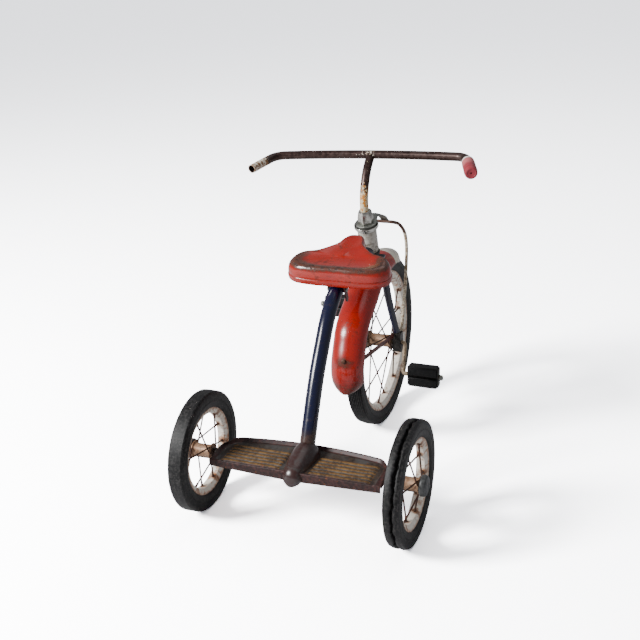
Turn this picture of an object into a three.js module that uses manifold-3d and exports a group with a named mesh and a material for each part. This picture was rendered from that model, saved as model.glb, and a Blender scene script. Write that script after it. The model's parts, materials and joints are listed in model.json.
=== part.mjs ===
// A child's pedal tricycle with a single bent frame tube, a ridged rear step, a pressed seat,
// a raked fork with a truss rod, and three spoked wheels on solid rubber tyres.
// Millimetres. +Z is up, +Y points forwards and +X to the rider's right.
// Pieces are placed from the floor under the rear axle. The whole group is then moved
// back, so that the origin is the middle of the footprint.
import * as THREE from "three";
import { mergeVertices } from "three/addons/utils/BufferGeometryUtils.js";
import Module from "manifold-3d";

const wasm = await Module();
wasm.setup();

// Driving sizes.
const GAP = 0.3; // between pieces that touch on the real tricycle
const RUNNING_GAP = 0.4; // round a pin that turns
const WHEELBASE = 504;
const HALF_TRACK = 224;
const RAKE = THREE.MathUtils.degToRad(15.8); // the steering axis leans back by this
const REAR_WHEEL = {
  radius: 127, halfWidth: 16.8, rimRadius: 92, rimHalfWidth: 12.5, wellRadius: 81, wellHalfWidth: 8,
  sides: 28, spokes: 12, hubHalfLength: 22, flangeRadius: 18, barrelRadius: 14, bore: 8.9, spokeTwist: 55,
};
const FRONT_WHEEL = {
  radius: 203.2, halfWidth: 19, rimRadius: 169.3, rimHalfWidth: 14, wellRadius: 157, wellHalfWidth: 9,
  sides: 40, spokes: 16, hubHalfLength: 29, flangeRadius: 20.5, barrelRadius: 15.5, bore: 5.4, spokeTwist: 65,
};
const FRAME_TUBE_RADIUS = 15.9;
const BAR_RADIUS = 9.5;
const BAR_WALL = 2.2;
const AXLE_RADIUS = 5.5;
const CRANK = {
  radius: 5, arm: 73, armX: 61, kick: 3, bend: 7, pedalX: 159, leftSlide: 4.4,
  angle: THREE.MathUtils.degToRad(21),
};
const SEAT = { skirt: 40, wall: 1.6, pitch: 11.1, yaw: 0.6, noseLift: 14 };
const STEP = { halfWidth: 182, rear: -57, front: 38, bow: 17, top: 140, plate: 4, lip: 147, flange: 122 };

// Wheels stand on the middle of a facet, so each axle is a little lower than its radius.
const apothem = (wheel) => wheel.radius * Math.cos(Math.PI / wheel.sides);
const REAR_AXLE = new THREE.Vector3(0, 0, apothem(REAR_WHEEL));
const FRONT_AXLE = new THREE.Vector3(0, WHEELBASE, apothem(FRONT_WHEEL));
const FOOTPRINT_MIDDLE = (WHEELBASE + apothem(FRONT_WHEEL) - apothem(REAR_WHEEL)) / 2;

const tricycle = new THREE.Group();
tricycle.position.y = -FOOTPRINT_MIDDLE;

const PAINT_RED = { color: 0xb5351f, roughness: 0.4, metalness: 0.1 };
const PAINT_NAVY = { color: 0x141b3a, roughness: 0.3, metalness: 0.2 };
const PAINT_WHITE = { color: 0xd9d4c6, roughness: 0.6, metalness: 0.1 };
const RUSTY_IRON = { color: 0x4a3128, roughness: 0.75, metalness: 0.5 };
const RUSTY_STEEL = { color: 0x6b452c, roughness: 0.7, metalness: 0.5 };
const OLD_CHROME = { color: 0x4a342c, roughness: 0.45, metalness: 0.7 };
const BRIGHT_STEEL = { color: 0xa9adae, roughness: 0.35, metalness: 0.9 };
const BLACK_RUBBER = { color: 0x1d1d1f, roughness: 0.85, metalness: 0 };
const BLACK_IRON = { color: 0x23201f, roughness: 0.7, metalness: 0.4 };
const RED_GRIP = { color: 0xa5444a, roughness: 0.6, metalness: 0 };

const at = (x, y, z) => new THREE.Vector3(x, y, z);
const SIDES = [["left", -1], ["right", 1]];

// ---------------------------------------------------------------- shape helpers

// The geometry with shared vertices merged, no empty faces, and its faces pointing out.
function closed(geometry) {
  const bare = geometry.clone();
  bare.deleteAttribute("normal");
  bare.deleteAttribute("uv");
  const merged = mergeVertices(bare, 1e-3);
  const position = merged.getAttribute("position");
  const faces = [];
  let volume = 0;
  for (let i = 0; i < merged.index.count; i += 3) {
    const [a, b, c] = [0, 1, 2].map((k) => merged.index.getX(i + k));
    if (a === b || b === c || a === c) continue;
    const [p, q, r] = [a, b, c].map((k) => new THREE.Vector3().fromBufferAttribute(position, k));
    volume += p.dot(q.cross(r));
    faces.push([a, b, c]);
  }
  merged.setIndex((volume < 0 ? faces.map(([a, b, c]) => [a, c, b]) : faces).flat());
  merged.computeVertexNormals();
  return merged;
}

function solid(geometry) {
  const body = closed(geometry);
  return new wasm.Manifold(new wasm.Mesh({
    numProp: 3,
    vertProperties: new Float32Array(body.getAttribute("position").array),
    triVerts: new Uint32Array(body.index.array),
  }));
}

function geometryOf(body) {
  const mesh = body.getMesh();
  const geometry = new THREE.BufferGeometry();
  geometry.setAttribute("position", new THREE.BufferAttribute(mesh.vertProperties, 3));
  geometry.setIndex(new THREE.BufferAttribute(mesh.triVerts, 1));
  geometry.computeVertexNormals();
  return geometry;
}

const join = (...geometries) => geometryOf(geometries.map(solid).reduce((sum, next) => sum.add(next)));
const cut = (geometry, ...tools) =>
  geometryOf(tools.map(solid).reduce((left, tool) => left.subtract(tool), solid(geometry)));

function addMesh(parent, name, geometry, finish) {
  const mesh = new THREE.Mesh(closed(geometry), new THREE.MeshStandardMaterial(finish));
  mesh.name = name;
  parent.add(mesh);
}

// A closed skin over rings of points. Both ends are capped, or joined to each other.
function skin(rings, joinEnds = false) {
  const count = rings[0].length;
  const points = rings.flat();
  const faces = [];
  const bands = joinEnds ? rings.length : rings.length - 1;
  for (let band = 0; band < bands; band++) {
    const [low, high] = [band * count, ((band + 1) % rings.length) * count];
    for (let i = 0; i < count; i++) {
      const next = (i + 1) % count;
      faces.push(low + i, low + next, high + next, low + i, high + next, high + i);
    }
  }
  if (!joinEnds) {
    for (const [ring, turn] of [[0, 1], [rings.length - 1, 0]]) {
      const middle = rings[ring].reduce((sum, p) => sum.add(p), at(0, 0, 0)).divideScalar(count);
      const hub = points.push(middle) - 1;
      for (let i = 0; i < count; i++) {
        const [here, next] = [ring * count + i, ring * count + ((i + 1) % count)];
        faces.push(hub, ...(turn ? [next, here] : [here, next]));
      }
    }
  }
  return new THREE.BufferGeometry().setFromPoints(points).setIndex(faces);
}

// Rings of a round section carried along a line of points without twisting.
function sectionsAlong(line, radiusAt, sides) {
  let across = null;
  return line.map((point, i) => {
    const before = line[Math.max(i - 1, 0)];
    const after = line[Math.min(i + 1, line.length - 1)];
    const along = after.clone().sub(before).normalize();
    const seed = Math.abs(along.x) > 0.9 ? at(0, 0, 1) : at(1, 0, 0);
    across = (across ?? seed).clone().addScaledVector(along, -along.dot(across ?? seed)).normalize();
    const up = along.clone().cross(across);
    return Array.from({ length: sides }, (_, k) => {
      const angle = ((k + 0.5) / sides) * 2 * Math.PI;
      return point.clone()
        .addScaledVector(across, radiusAt(i / (line.length - 1)) * Math.cos(angle))
        .addScaledVector(up, radiusAt(i / (line.length - 1)) * Math.sin(angle));
    });
  });
}

const bar = (line, radius, sides) => skin(sectionsAlong(line, () => radius, sides));
const taperedBar = (line, from, to, sides) =>
  skin(sectionsAlong(line, (t) => THREE.MathUtils.lerp(from, to, t), sides));

// A tube along a line of points, open at both ends.
function tube(line, radius, wall, sides) {
  const outside = sectionsAlong(line, () => radius, sides);
  const inside = sectionsAlong(line, () => radius - wall, sides);
  return skin([...outside, ...inside.reverse()], true);
}

// Straight runs through the corners, joined by round bends.
function bentLine(corners, bend, steps = 4) {
  const line = [corners[0]];
  for (let i = 1; i < corners.length - 1; i++) {
    const toward = (other) => corners[i].clone().add(other.clone().sub(corners[i]).setLength(bend));
    const arc = new THREE.QuadraticBezierCurve3(toward(corners[i - 1]), corners[i], toward(corners[i + 1]));
    line.push(...arc.getPoints(steps));
  }
  return [...line, corners.at(-1)];
}

const smoothLine = (points, steps) => new THREE.CatmullRomCurve3(points).getSpacedPoints(steps);

// A flat strap along a line of points, as wide as `width` along the direction `widthWay`.
function strap(line, widthWay, width, thickness) {
  const side = widthWay.clone().normalize();
  return skin(line.map((point, i) => {
    const before = line[Math.max(i - 1, 0)];
    const after = line[Math.min(i + 1, line.length - 1)];
    const face = after.clone().sub(before).cross(side).normalize();
    return [[1, 1], [-1, 1], [-1, -1], [1, -1]].map(([a, b]) =>
      point.clone().addScaledVector(side, (a * width) / 2).addScaledVector(face, (b * thickness) / 2));
  }));
}

// A turned piece whose axis is +X. The profile holds [radius, x] pairs.
function turned(profile, sides) {
  const points = profile.map(([radius, x]) => new THREE.Vector2(radius, x));
  return new THREE.LatheGeometry(points, sides, Math.PI / sides).rotateZ(-Math.PI / 2);
}

// A sleeve or washer with its axis along +X.
const sleeve = (inner, outer, from, to, sides) =>
  turned([[inner, from], [outer, from], [outer, to], [inner, to], [inner, from]], sides);

const rod = (radius, from, to, sides) => turned([[0, from], [radius, from], [radius, to], [0, to]], sides);

function block(width, depth, height, x, y, z) {
  return new THREE.BoxGeometry(width, depth, height).translate(x, y, z);
}

// ---------------------------------------------------------------- wheels

// Each mirrored half of a ring's section is listed once, from its middle out.
const mirrored = (half) => [...half, ...half.map(([r, x]) => [r, -x]).reverse()];

function tyre({ radius, halfWidth, rimRadius, rimHalfWidth, wellRadius, wellHalfWidth, sides }) {
  const seat = 1.6 + GAP; // rim sheet and clearance
  const half = [
    [radius, halfWidth * 0.4], [radius - 4, halfWidth * 0.82], [radius - 13, halfWidth],
    [rimRadius + 0.6, rimHalfWidth], [rimRadius + GAP, rimHalfWidth - seat],
    [wellRadius + GAP, wellHalfWidth - seat],
  ];
  const section = mirrored(half);
  return turned([...section, section[0]], sides);
}

function rim({ rimRadius, rimHalfWidth, wellRadius, wellHalfWidth, sides }) {
  const sheet = 1.6;
  const section = mirrored([
    [wellRadius, wellHalfWidth - sheet], [rimRadius, rimHalfWidth - sheet], [rimRadius, rimHalfWidth],
    [wellRadius - sheet, wellHalfWidth],
  ]);
  return turned([...section, section[0]], sides);
}

// The hub shell with its two flanges, and the crossed wire spokes between it and the rim.
function hubAndSpokes(wheel, firstAngle) {
  const { hubHalfLength: half, flangeRadius, barrelRadius, bore, wellRadius, spokes, spokeTwist } = wheel;
  const flange = 3;
  const shell = turned([
    [bore, -half], [flangeRadius, -half], [flangeRadius, flange - half], [barrelRadius, flange - half],
    [barrelRadius, half - flange], [flangeRadius, half - flange], [flangeRadius, half], [bore, half],
    [bore, -half],
  ], 16);
  const wires = Array.from({ length: spokes }, (_, i) => {
    const side = i % 2 ? 1 : -1;
    const lean = i % 4 < 2 ? 1 : -1;
    const rimAngle = firstAngle + (i / spokes) * 2 * Math.PI;
    const hubAngle = rimAngle + lean * THREE.MathUtils.degToRad(spokeTwist);
    const onCircle = (x, radius, angle) => at(x, radius * Math.sin(angle), radius * Math.cos(angle));
    const root = onCircle(side * (half - flange / 2), flangeRadius - 2.5, hubAngle);
    const tip = onCircle(side * 2.5, wellRadius - 1.6 - 1, rimAngle);
    return bar([root, tip], 1.4, 4);
  });
  return join(shell, ...wires);
}

function addRearWheel(name, side) {
  const wheel = new THREE.Group();
  wheel.position.set(side * HALF_TRACK, 0, REAR_AXLE.z);
  tricycle.add(wheel);
  const { hubHalfLength: half, bore } = REAR_WHEEL;
  const capInside = half + GAP + 0.5;
  const cap = [
    [0, capInside + 8], [8, capInside + 8], [8, capInside], [19, capInside], [21.5, capInside + 3],
    [20, capInside + 11], [12, capInside + 14], [0, capInside + 14],
  ].map(([radius, x]) => [radius, side * x]);
  addMesh(wheel, `${name}_tyre`, tyre(REAR_WHEEL), BLACK_RUBBER);
  addMesh(wheel, `${name}_rim`, rim(REAR_WHEEL), PAINT_WHITE);
  addMesh(wheel, `${name}_hub_and_spokes`, hubAndSpokes(REAR_WHEEL, 0.2), RUSTY_STEEL);
  const bush = sleeve(AXLE_RADIUS + RUNNING_GAP, bore - GAP, -side * (half + 3), side * half, 18);
  addMesh(wheel, `${name}_bush`, bush, BRIGHT_STEEL);
  addMesh(wheel, `${name}_hub_cap`, turned(cap, 22), BRIGHT_STEEL);
}

function addFrontWheel() {
  const wheel = new THREE.Group();
  wheel.position.copy(FRONT_AXLE);
  tricycle.add(wheel);
  const firstNipple = Math.PI - THREE.MathUtils.degToRad(10.3);
  addMesh(wheel, "front_tyre", tyre(FRONT_WHEEL), BLACK_RUBBER);
  addMesh(wheel, "front_rim", rim(FRONT_WHEEL), PAINT_WHITE);
  addMesh(wheel, "front_hub_and_spokes", hubAndSpokes(FRONT_WHEEL, firstNipple), RUSTY_STEEL);
}

// ---------------------------------------------------------------- crank and pedals

const crankPin = (side) =>
  at(0, -Math.sin(CRANK.angle), -Math.cos(CRANK.angle)).multiplyScalar(side * CRANK.arm);

function addCrank() {
  const group = new THREE.Group();
  group.position.copy(FRONT_AXLE);
  tricycle.add(group);
  const [left, right] = [crankPin(-1), crankPin(1)];
  const corners = [
    at(-CRANK.pedalX, left.y, left.z), at(-CRANK.armX - CRANK.kick, left.y, left.z), at(-CRANK.armX, 0, 0),
    at(CRANK.armX, 0, 0), at(CRANK.armX + CRANK.kick, right.y, right.z), at(CRANK.pedalX, right.y, right.z),
  ];
  addMesh(group, "crank_axle", bar(bentLine(corners, CRANK.bend, 3), CRANK.radius, 10), PAINT_WHITE);
}

// Distances out from the middle of the tricycle, and the sections of a pedal's pieces.
const PEDAL = {
  sleeveFrom: 76, sleeveTo: 152, sleeveRadius: 7, blockFrom: 80, blockTo: 149, depth: 28, height: 24,
  corner: 5, blockRise: 14, plateThickness: 3, plateDepth: 20, plateHeight: 46, nutFrom: 153, nutRadius: 6.8,
};

// The block is a rounded bar of rubber with a groove for the pedal sleeve.
function pedalBlock(level) {
  const { depth, height, corner, blockFrom, blockTo, blockRise, sleeveRadius } = PEDAL;
  const outline = new THREE.Shape();
  const [w, h] = [depth / 2, height / 2];
  outline.moveTo(-w + corner, -h).lineTo(w - corner, -h).quadraticCurveTo(w, -h, w, -h + corner);
  outline.lineTo(w, h - corner).quadraticCurveTo(w, h, w - corner, h);
  outline.lineTo(-w + corner, h).quadraticCurveTo(-w, h, -w, h - corner);
  outline.lineTo(-w, -h + corner).quadraticCurveTo(-w, -h, -w + corner, -h);
  const [from, to] = [blockFrom + GAP, blockTo - GAP];
  const extrusion = { depth: to - from, bevelEnabled: false, curveSegments: 3 };
  const body = new THREE.ExtrudeGeometry(outline, extrusion);
  body.rotateY(Math.PI / 2).rotateX(Math.PI / 2).translate(from, 0, level * blockRise);
  return cut(body, rod(sleeveRadius + GAP, from - 5, to + 5, 12));
}

// A pedal has some end play on its pin. The left one has slid in towards the crank arm.
function addPedal(name, side) {
  const slide = side < 0 ? CRANK.leftSlide : 0;
  const pedal = new THREE.Group();
  pedal.position.copy(FRONT_AXLE).add(crankPin(side)).add(at(slide, 0, 0));
  pedal.scale.x = side;
  tricycle.add(pedal);
  const { plateThickness, plateDepth, plateHeight, sleeveRadius, sleeveFrom, sleeveTo } = PEDAL;
  const plate = (x) => cut(
    block(plateThickness, plateDepth, plateHeight, x, 0, 0),
    rod(sleeveRadius + GAP, x - plateThickness, x + plateThickness, 12),
  );
  const tube = sleeve(CRANK.radius + RUNNING_GAP, sleeveRadius, sleeveFrom, sleeveTo, 12);
  addMesh(pedal, `${name}_pedal_sleeve`, tube, RUSTY_STEEL);
  addMesh(pedal, `${name}_pedal_upper_block`, pedalBlock(1), BLACK_RUBBER);
  addMesh(pedal, `${name}_pedal_lower_block`, pedalBlock(-1), BLACK_RUBBER);
  addMesh(pedal, `${name}_pedal_inner_plate`, plate(PEDAL.blockFrom - plateThickness / 2), BLACK_IRON);
  addMesh(pedal, `${name}_pedal_outer_plate`, plate(PEDAL.blockTo + plateThickness / 2), BLACK_IRON);
}

// The end nut is screwed on the crank, beyond the pedal.
function addPedalNut(name, side) {
  const group = new THREE.Group();
  group.position.copy(FRONT_AXLE).add(crankPin(side));
  group.scale.x = side;
  tricycle.add(group);
  const { nutFrom, nutRadius } = PEDAL;
  const [bore, pinEnd] = [CRANK.radius + GAP, CRANK.pedalX + GAP];
  const nut = [
    [bore, nutFrom], [nutRadius, nutFrom], [nutRadius, pinEnd - 1.3], [5, pinEnd + 2.7], [0, pinEnd + 2.7],
    [0, pinEnd], [bore, pinEnd], [bore, nutFrom],
  ];
  addMesh(group, `${name}_pedal_nut`, turned(nut, 12), BRIGHT_STEEL);
}

// ---------------------------------------------------------------- rear step, axle and frame

// The step's plan: straight at the back, bowed at the front and rounded at the front corners.
function stepPlan(inset, rear) {
  const { halfWidth, front, bow } = STEP;
  const [side, edge, corner] = [halfWidth - inset, front - inset, 18];
  const plan = new THREE.Shape();
  plan.moveTo(-side, rear).lineTo(side, rear).lineTo(side, edge - corner - 4);
  plan.quadraticCurveTo(side, edge - 3, side - corner, edge);
  plan.quadraticCurveTo(0, edge + 2 * bow, -side + corner, edge);
  plan.quadraticCurveTo(-side, edge - 3, -side, edge - corner - 4);
  return plan;
}

const slab = (plan, from, to) =>
  new THREE.ExtrudeGeometry(plan, { depth: to - from, bevelEnabled: false, curveSegments: 8 })
    .translate(0, 0, from);

function stepTray() {
  const { top, plate, lip, rear, halfWidth, flange } = STEP;
  const dish = cut(slab(stepPlan(0, rear), top - plate, lip), slab(stepPlan(4.5, rear - 20), top, lip + 5));
  const ridges = SIDES.flatMap(([, side]) => Array.from({ length: 6 }, (_, i) =>
    rod(3, 34, 154, 8).scale(side, 1, 0.8).translate(0, 14 - i * 12, top)));
  const flangeWall = block(2 * halfWidth - 4, 3.5, top - 1 - flange, 0, rear + 1.75, (top - 1 + flange) / 2);
  return join(dish, flangeWall, ...ridges);
}

// The domed lug that holds the foot of the frame tube. It runs over the step and its rear edge.
function stepLug() {
  const middle = 128;
  const stations = [
    [-69, 6, 6], [-67, 13, 12], [-61, 19, 20], [-50, 23, 27], [-32, 26, 33], [-8, 29, 40], [14, 30, 44],
    [32, 28, 40], [43, 21, 30], [48, 10, 20],
  ];
  const dome = skin(stations.map(([y, halfWidth, rise]) => Array.from({ length: 20 }, (_, k) => {
    const angle = (k / 20) * 2 * Math.PI;
    const lift = Math.sin(angle);
    return at(halfWidth * Math.cos(angle), y, middle + lift * (lift > 0 ? rise : Math.min(rise, 15)));
  })));
  const stepRoom = block(140, 160, 60, 0, STEP.rear - GAP + 80, STEP.top + GAP - 30);
  const [foot, ...above] = frameLine().slice(0, 5);
  const socket = [foot.clone().add(at(0, -1, -2)), ...above];
  return cut(dome, stepRoom, bar(socket, FRAME_TUBE_RADIUS + 2 * GAP, 14));
}

// The frame tube's centreline, from its foot in the lug to the back of the head tube.
function frameLine() {
  return smoothLine([
    at(0, 22, 149), at(0, 44, 194), at(0, 69, 245), at(0, 96, 294), at(0, 128, 340), at(0, 165, 388),
    at(0, 214, 425), at(0, 284, 443), at(0, 350, 449), at(0, 416, 450),
  ], 11);
}

const SEAT_BOLT = at(0, 222, 429);

function addFrame() {
  const headRoom = [
    headPiece(rod(HEAD.tubeRadius + GAP, HEAD.tubeFoot - 1, HEAD.tubeTop, 24)),
    headPiece(rod(HEAD.lowerCupRadius + GAP, HEAD.crownTop, HEAD.tubeFoot, 24)),
  ];
  const boltHole = rod(3 + GAP, -40, 40, 8).translate(0, SEAT_BOLT.y, SEAT_BOLT.z);
  const mainTube = cut(tube(frameLine(), FRAME_TUBE_RADIUS, 2, 14), ...headRoom, boltHole);
  addMesh(tricycle, "frame_tube", mainTube, PAINT_NAVY);
  addMesh(tricycle, "rear_step", stepTray(), RUSTY_IRON);
  addMesh(tricycle, "step_lug", stepLug(), RUSTY_IRON);
  const axleEnd = HALF_TRACK + REAR_WHEEL.hubHalfLength + 6;
  const axle = rod(AXLE_RADIUS, -axleEnd, axleEnd, 12).translate(0, 0, REAR_AXLE.z);
  addMesh(tricycle, "rear_axle", axle, RUSTY_STEEL);
  for (const [name, side] of SIDES) {
    addMesh(tricycle, `${name}_axle_bracket`, axleBracket(side), RUSTY_IRON);
    const spacer = sleeve(AXLE_RADIUS + GAP, 8.5, side * 177, side * 196, 14).translate(0, 0, REAR_AXLE.z);
    addMesh(tricycle, `${name}_axle_spacer`, spacer, BLACK_IRON);
  }
}

// A folded bracket under the step's end: a foot against the plate and an ear round the axle.
function axleBracket(side) {
  const [sheet, footWidth, footDepth, earDepth, drop, earX] = [3, 18, 34, 26, 19, 171.5];
  const under = STEP.top - STEP.plate - GAP;
  const footX = earX + sheet / 2 - footWidth / 2;
  const foot = block(footWidth, footDepth, sheet, side * footX, 0, under - sheet / 2);
  const ear = block(sheet, earDepth, drop, side * earX, 0, under - drop / 2);
  const hole = rod(AXLE_RADIUS + GAP, -15, 15, 14).translate(side * earX, 0, REAR_AXLE.z);
  return cut(join(foot, ear), hole);
}

// ---------------------------------------------------------------- seat

// Half of the seat's plan: [how far forward, half width] from the back to the nose.
const SEAT_PLAN = [
  [0, 0], [0, 55], [7, 92], [25, 111], [50, 112], [70, 101],
  [83, 70], [107, 45], [126, 30], [150, 23], [166, 14], [170, 0],
];

// Points round the seat's plan, scaled about a middle point.
function seatRing(scale, height, count = 24) {
  const middle = 70;
  const half = SEAT_PLAN.map(([y, x]) => at(x, y, 0));
  const other = SEAT_PLAN.slice(1, -1).reverse().map(([y, x]) => at(-x, y, 0));
  const line = new THREE.CatmullRomCurve3([...half, ...other], true).getSpacedPoints(count).slice(0, count);
  return line.map((p) => {
    const lift = (1 - height / SEAT.skirt) * SEAT.noseLift * THREE.MathUtils.smoothstep(p.y, 70, 160);
    return at(p.x * scale, middle + (p.y - middle) * scale, height + lift);
  });
}

function seatShell() {
  const { skirt, wall } = SEAT;
  const outside = [
    [1, 0], [1.005, 10.5], [0.985, 12.5], [0.975, 27], [0.93, 36], [0.84, skirt], [0.62, 37.5], [0.3, 35],
  ];
  const rings = outside.map(([scale, height]) => seatRing(scale, height));
  const inside = outside.map(([scale, height], i) => seatRing(scale - 0.018, i ? height - wall : 0));
  return skin([...inside.reverse(), ...rings]);
}

// A tab under the seat's top with one leg that is bolted to the right side of the frame tube.
function seatBracket() {
  const [legX, lean, end] = [18.4, at(0, 13.3, -33.6), at(0, 9.2, -28)];
  const across = at(0, 0.93, 0.37);
  const top = lean.clone().multiplyScalar(-0.72).setX(legX);
  const leg = strap([top, lean.clone().multiplyScalar(0.7).setX(legX)], across, 12, 3);
  const tip = rod(6, legX - 1.5, legX + 1.5, 14).translate(0, end.y, end.z + 4.5);
  const tab = block(44, 30, 3, -2, top.y + 12, top.z - 2);
  const hole = rod(3 + GAP, 5, 40, 8);
  return cut(join(tab, leg, tip), hole).translate(0, SEAT_BOLT.y, SEAT_BOLT.z);
}

function addSeat() {
  const seat = new THREE.Group();
  seat.position.set(0.9, 201.4, 440.4);
  seat.rotation.set(THREE.MathUtils.degToRad(SEAT.pitch), 0, THREE.MathUtils.degToRad(SEAT.yaw));
  tricycle.add(seat);
  addMesh(seat, "seat_pan", seatShell(), PAINT_RED);
  addMesh(tricycle, "seat_bracket", seatBracket(), RUSTY_STEEL);
  const [shank, head, under] = [3, 5.5, 20.2];
  const bolt = turned([
    [0, -21.5], [shank, -21.5], [shank, under], [head, under], [head, under + 2.8], [0, under + 2.8],
  ], 8);
  addMesh(tricycle, "seat_bolt", bolt.translate(0, SEAT_BOLT.y, SEAT_BOLT.z), BRIGHT_STEEL);
  const nut = sleeve(shank + 2 * GAP, head + GAP, -20.5, -16.5, 6).translate(0, SEAT_BOLT.y, SEAT_BOLT.z);
  addMesh(tricycle, "seat_nut", nut, BRIGHT_STEEL);
}

// ---------------------------------------------------------------- head, fork and truss

// Turns a piece made along +X so that it stands along the steering axis, from the front axle up.
function headPiece(geometry) {
  return geometry.rotateY(-Math.PI / 2).rotateX(RAKE).translate(0, FRONT_AXLE.y, FRONT_AXLE.z);
}

// The point on the steering axis that far up from the front axle.
const onAxis = (distance) =>
  at(0, FRONT_AXLE.y - distance * Math.sin(RAKE), FRONT_AXLE.z + distance * Math.cos(RAKE));

// The stack of head parts, as distances from the front axle along the steering axis.
const HEAD = {
  tubeFoot: 259, tubeTop: 313, tubeRadius: 21.5, bore: 14, crownTop: 236.5, crownThickness: 7,
  cupRadius: 27.5, lowerCupRadius: 23.7, lowerCupFoot: 250, collar: 328.4, collarThickness: 2.8,
  steererRadius: 12.7, steererTop: 356, nutFoot: 331.6, nutTop: 362, stemRadius: 9.5,
};

function addHead() {
  const add = (name, geometry, finish) => addMesh(tricycle, name, headPiece(geometry), finish);
  const { tubeFoot, tubeTop, tubeRadius, bore, cupRadius, lowerCupRadius, lowerCupFoot, collar } = HEAD;
  const { steererRadius, steererTop, nutFoot, nutTop, crownTop, stemRadius } = HEAD;
  add("head_tube", sleeve(bore, tubeRadius, tubeFoot, tubeTop, 24), PAINT_WHITE);
  const [seat, race] = [tubeTop + GAP, tubeTop + 7];
  const cup = [
    [bore, seat], [cupRadius - 5, seat], [cupRadius, seat + 4.7], [cupRadius, seat + 12.7],
    [cupRadius - 2, seat + 12.7], [cupRadius - 3.5, race], [bore, race], [bore, seat],
  ];
  add("upper_head_cup", turned(cup, 20), BRIGHT_STEEL);
  add("lower_head_cup", sleeve(bore, lowerCupRadius, lowerCupFoot, tubeFoot - GAP, 24), BLACK_IRON);
  add("upper_bearing_cone", sleeve(bore - 1, 20, race + 0.6, collar - 2 * GAP, 20), BRIGHT_STEEL);
  add("lower_bearing_cone", sleeve(bore - 1, 19, crownTop + GAP, lowerCupFoot - 2 * GAP, 20), BLACK_IRON);
  add("steerer", sleeve(stemRadius + 0.4, steererRadius, crownTop + GAP, steererTop, 16), BRIGHT_STEEL);
  const nut = turned([
    [0, nutFoot], [18, nutFoot], [18, nutFoot + 14], [15.4, nutTop - 4], [13.6, nutTop], [0, nutTop],
  ], 6);
  const thread = rod(steererRadius + 0.5, nutFoot - 2, steererTop + 0.6, 18);
  add("lock_nut", cut(nut, thread, rod(stemRadius + 0.5, steererTop, nutTop + 4, 14)), BRIGHT_STEEL);
}

function addFork() {
  const { crownTop, crownThickness } = HEAD;
  const crown = headPiece(block(crownThickness, 40, 60, crownTop - crownThickness / 2, 0, 0));
  const legs = SIDES.map(([, side]) => taperedBar(forkLeg(side), 9.8, 7.5, 12));
  addMesh(tricycle, "fork", join(crown, ...legs), PAINT_NAVY);
}

// A fork leg's centreline, from the crown down to the axle bearing.
function forkLeg(side) {
  const foot = FRONT_AXLE.clone().add(at(side * 42, -6, 29));
  return smoothLine([
    onAxis(HEAD.crownTop - 5).setX(side * 22), at(side * 30.5, 447, 396), at(side * 31, 463, 344),
    at(side * 36, 484, 280), foot,
  ], 8);
}

// A plain bearing block for the crank axle at the foot of each fork leg.
function addAxleBearing(name, side) {
  const [x, radius, drop, rise, thickness] = [43, 12, 13, 25, 19];
  const outline = new THREE.Shape();
  outline.absarc(0, -drop, radius, Math.PI, 0, false).lineTo(radius, rise).lineTo(-radius, rise);
  outline.holes.push(new THREE.Path().absarc(0, 0, CRANK.radius + RUNNING_GAP, 0, 2 * Math.PI, true));
  const extrusion = { depth: thickness, bevelEnabled: false, curveSegments: 6 };
  const body = new THREE.ExtrudeGeometry(outline, extrusion);
  body.rotateX(Math.PI / 2).rotateZ(Math.PI / 2).translate(side * x - thickness / 2, 0, 0);
  addMesh(tricycle, `${name}_axle_bearing`, body.translate(0, FRONT_AXLE.y, FRONT_AXLE.z), BLACK_IRON);
}

function addTruss() {
  const side = (s) => [
    at(s * 50, 511, FRONT_AXLE.z + 27), at(s * 50, 520, 257), at(s * 50, 540, 322), at(s * 50, 554, 385),
    at(s * 50.5, 552, 440), at(s * 46, 547, 468), at(s * 34, 545.5, 483),
  ];
  const right = new THREE.CatmullRomCurve3(side(1)).getPoints(11);
  const left = new THREE.CatmullRomCurve3(side(-1)).getPoints(11).reverse();
  const top = [at(22, 545, 486), at(0, 545, 486.5), at(-22, 545, 486)];
  const line = [...right.slice(0, -1), ...top, ...left.slice(1)];
  addMesh(tricycle, "truss_rod", bar(line, 4, 8), RUSTY_STEEL);
  const plateTop = HEAD.collar + HEAD.collarThickness;
  const collar = headPiece(sleeve(13, 24, HEAD.collar, plateTop, 24));
  const start = onAxis(plateTop - HEAD.collarThickness / 2);
  const tongue = smoothLine([
    start.clone().add(at(0, 17, 5)), start.clone().add(at(0, 34, 8)), start.clone().add(at(0, 58, 4)),
    start.clone().add(at(0, 88, -5)), at(0, 530, 504), at(0, 553.2, 486.5),
  ], 10);
  addMesh(tricycle, "truss_bracket", join(collar, strap(tongue, at(1, 0, 0), 19, 2.6)), BRIGHT_STEEL);
}

// ---------------------------------------------------------------- front fender

// The fender's crown line: [degrees back from straight above the axle, distance from the axle].
const CROWN = [[-19, 222], [0, 224], [38, 227], [68, 255], [84, 263], [97, 257]];
const FENDER = { halfWidth: 38, depth: 31, wall: 1.3, tailStart: 88, across: 8 };
const STAY_ANGLE = 79;

function crownRadius(angle) {
  const i = Math.max(1, CROWN.findIndex(([a]) => a >= angle));
  const [[a0, r0], [a1, r1]] = [CROWN[i - 1], CROWN[i]];
  return THREE.MathUtils.lerp(r0, r1, THREE.MathUtils.smoothstep(angle, a0, a1));
}

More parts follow.
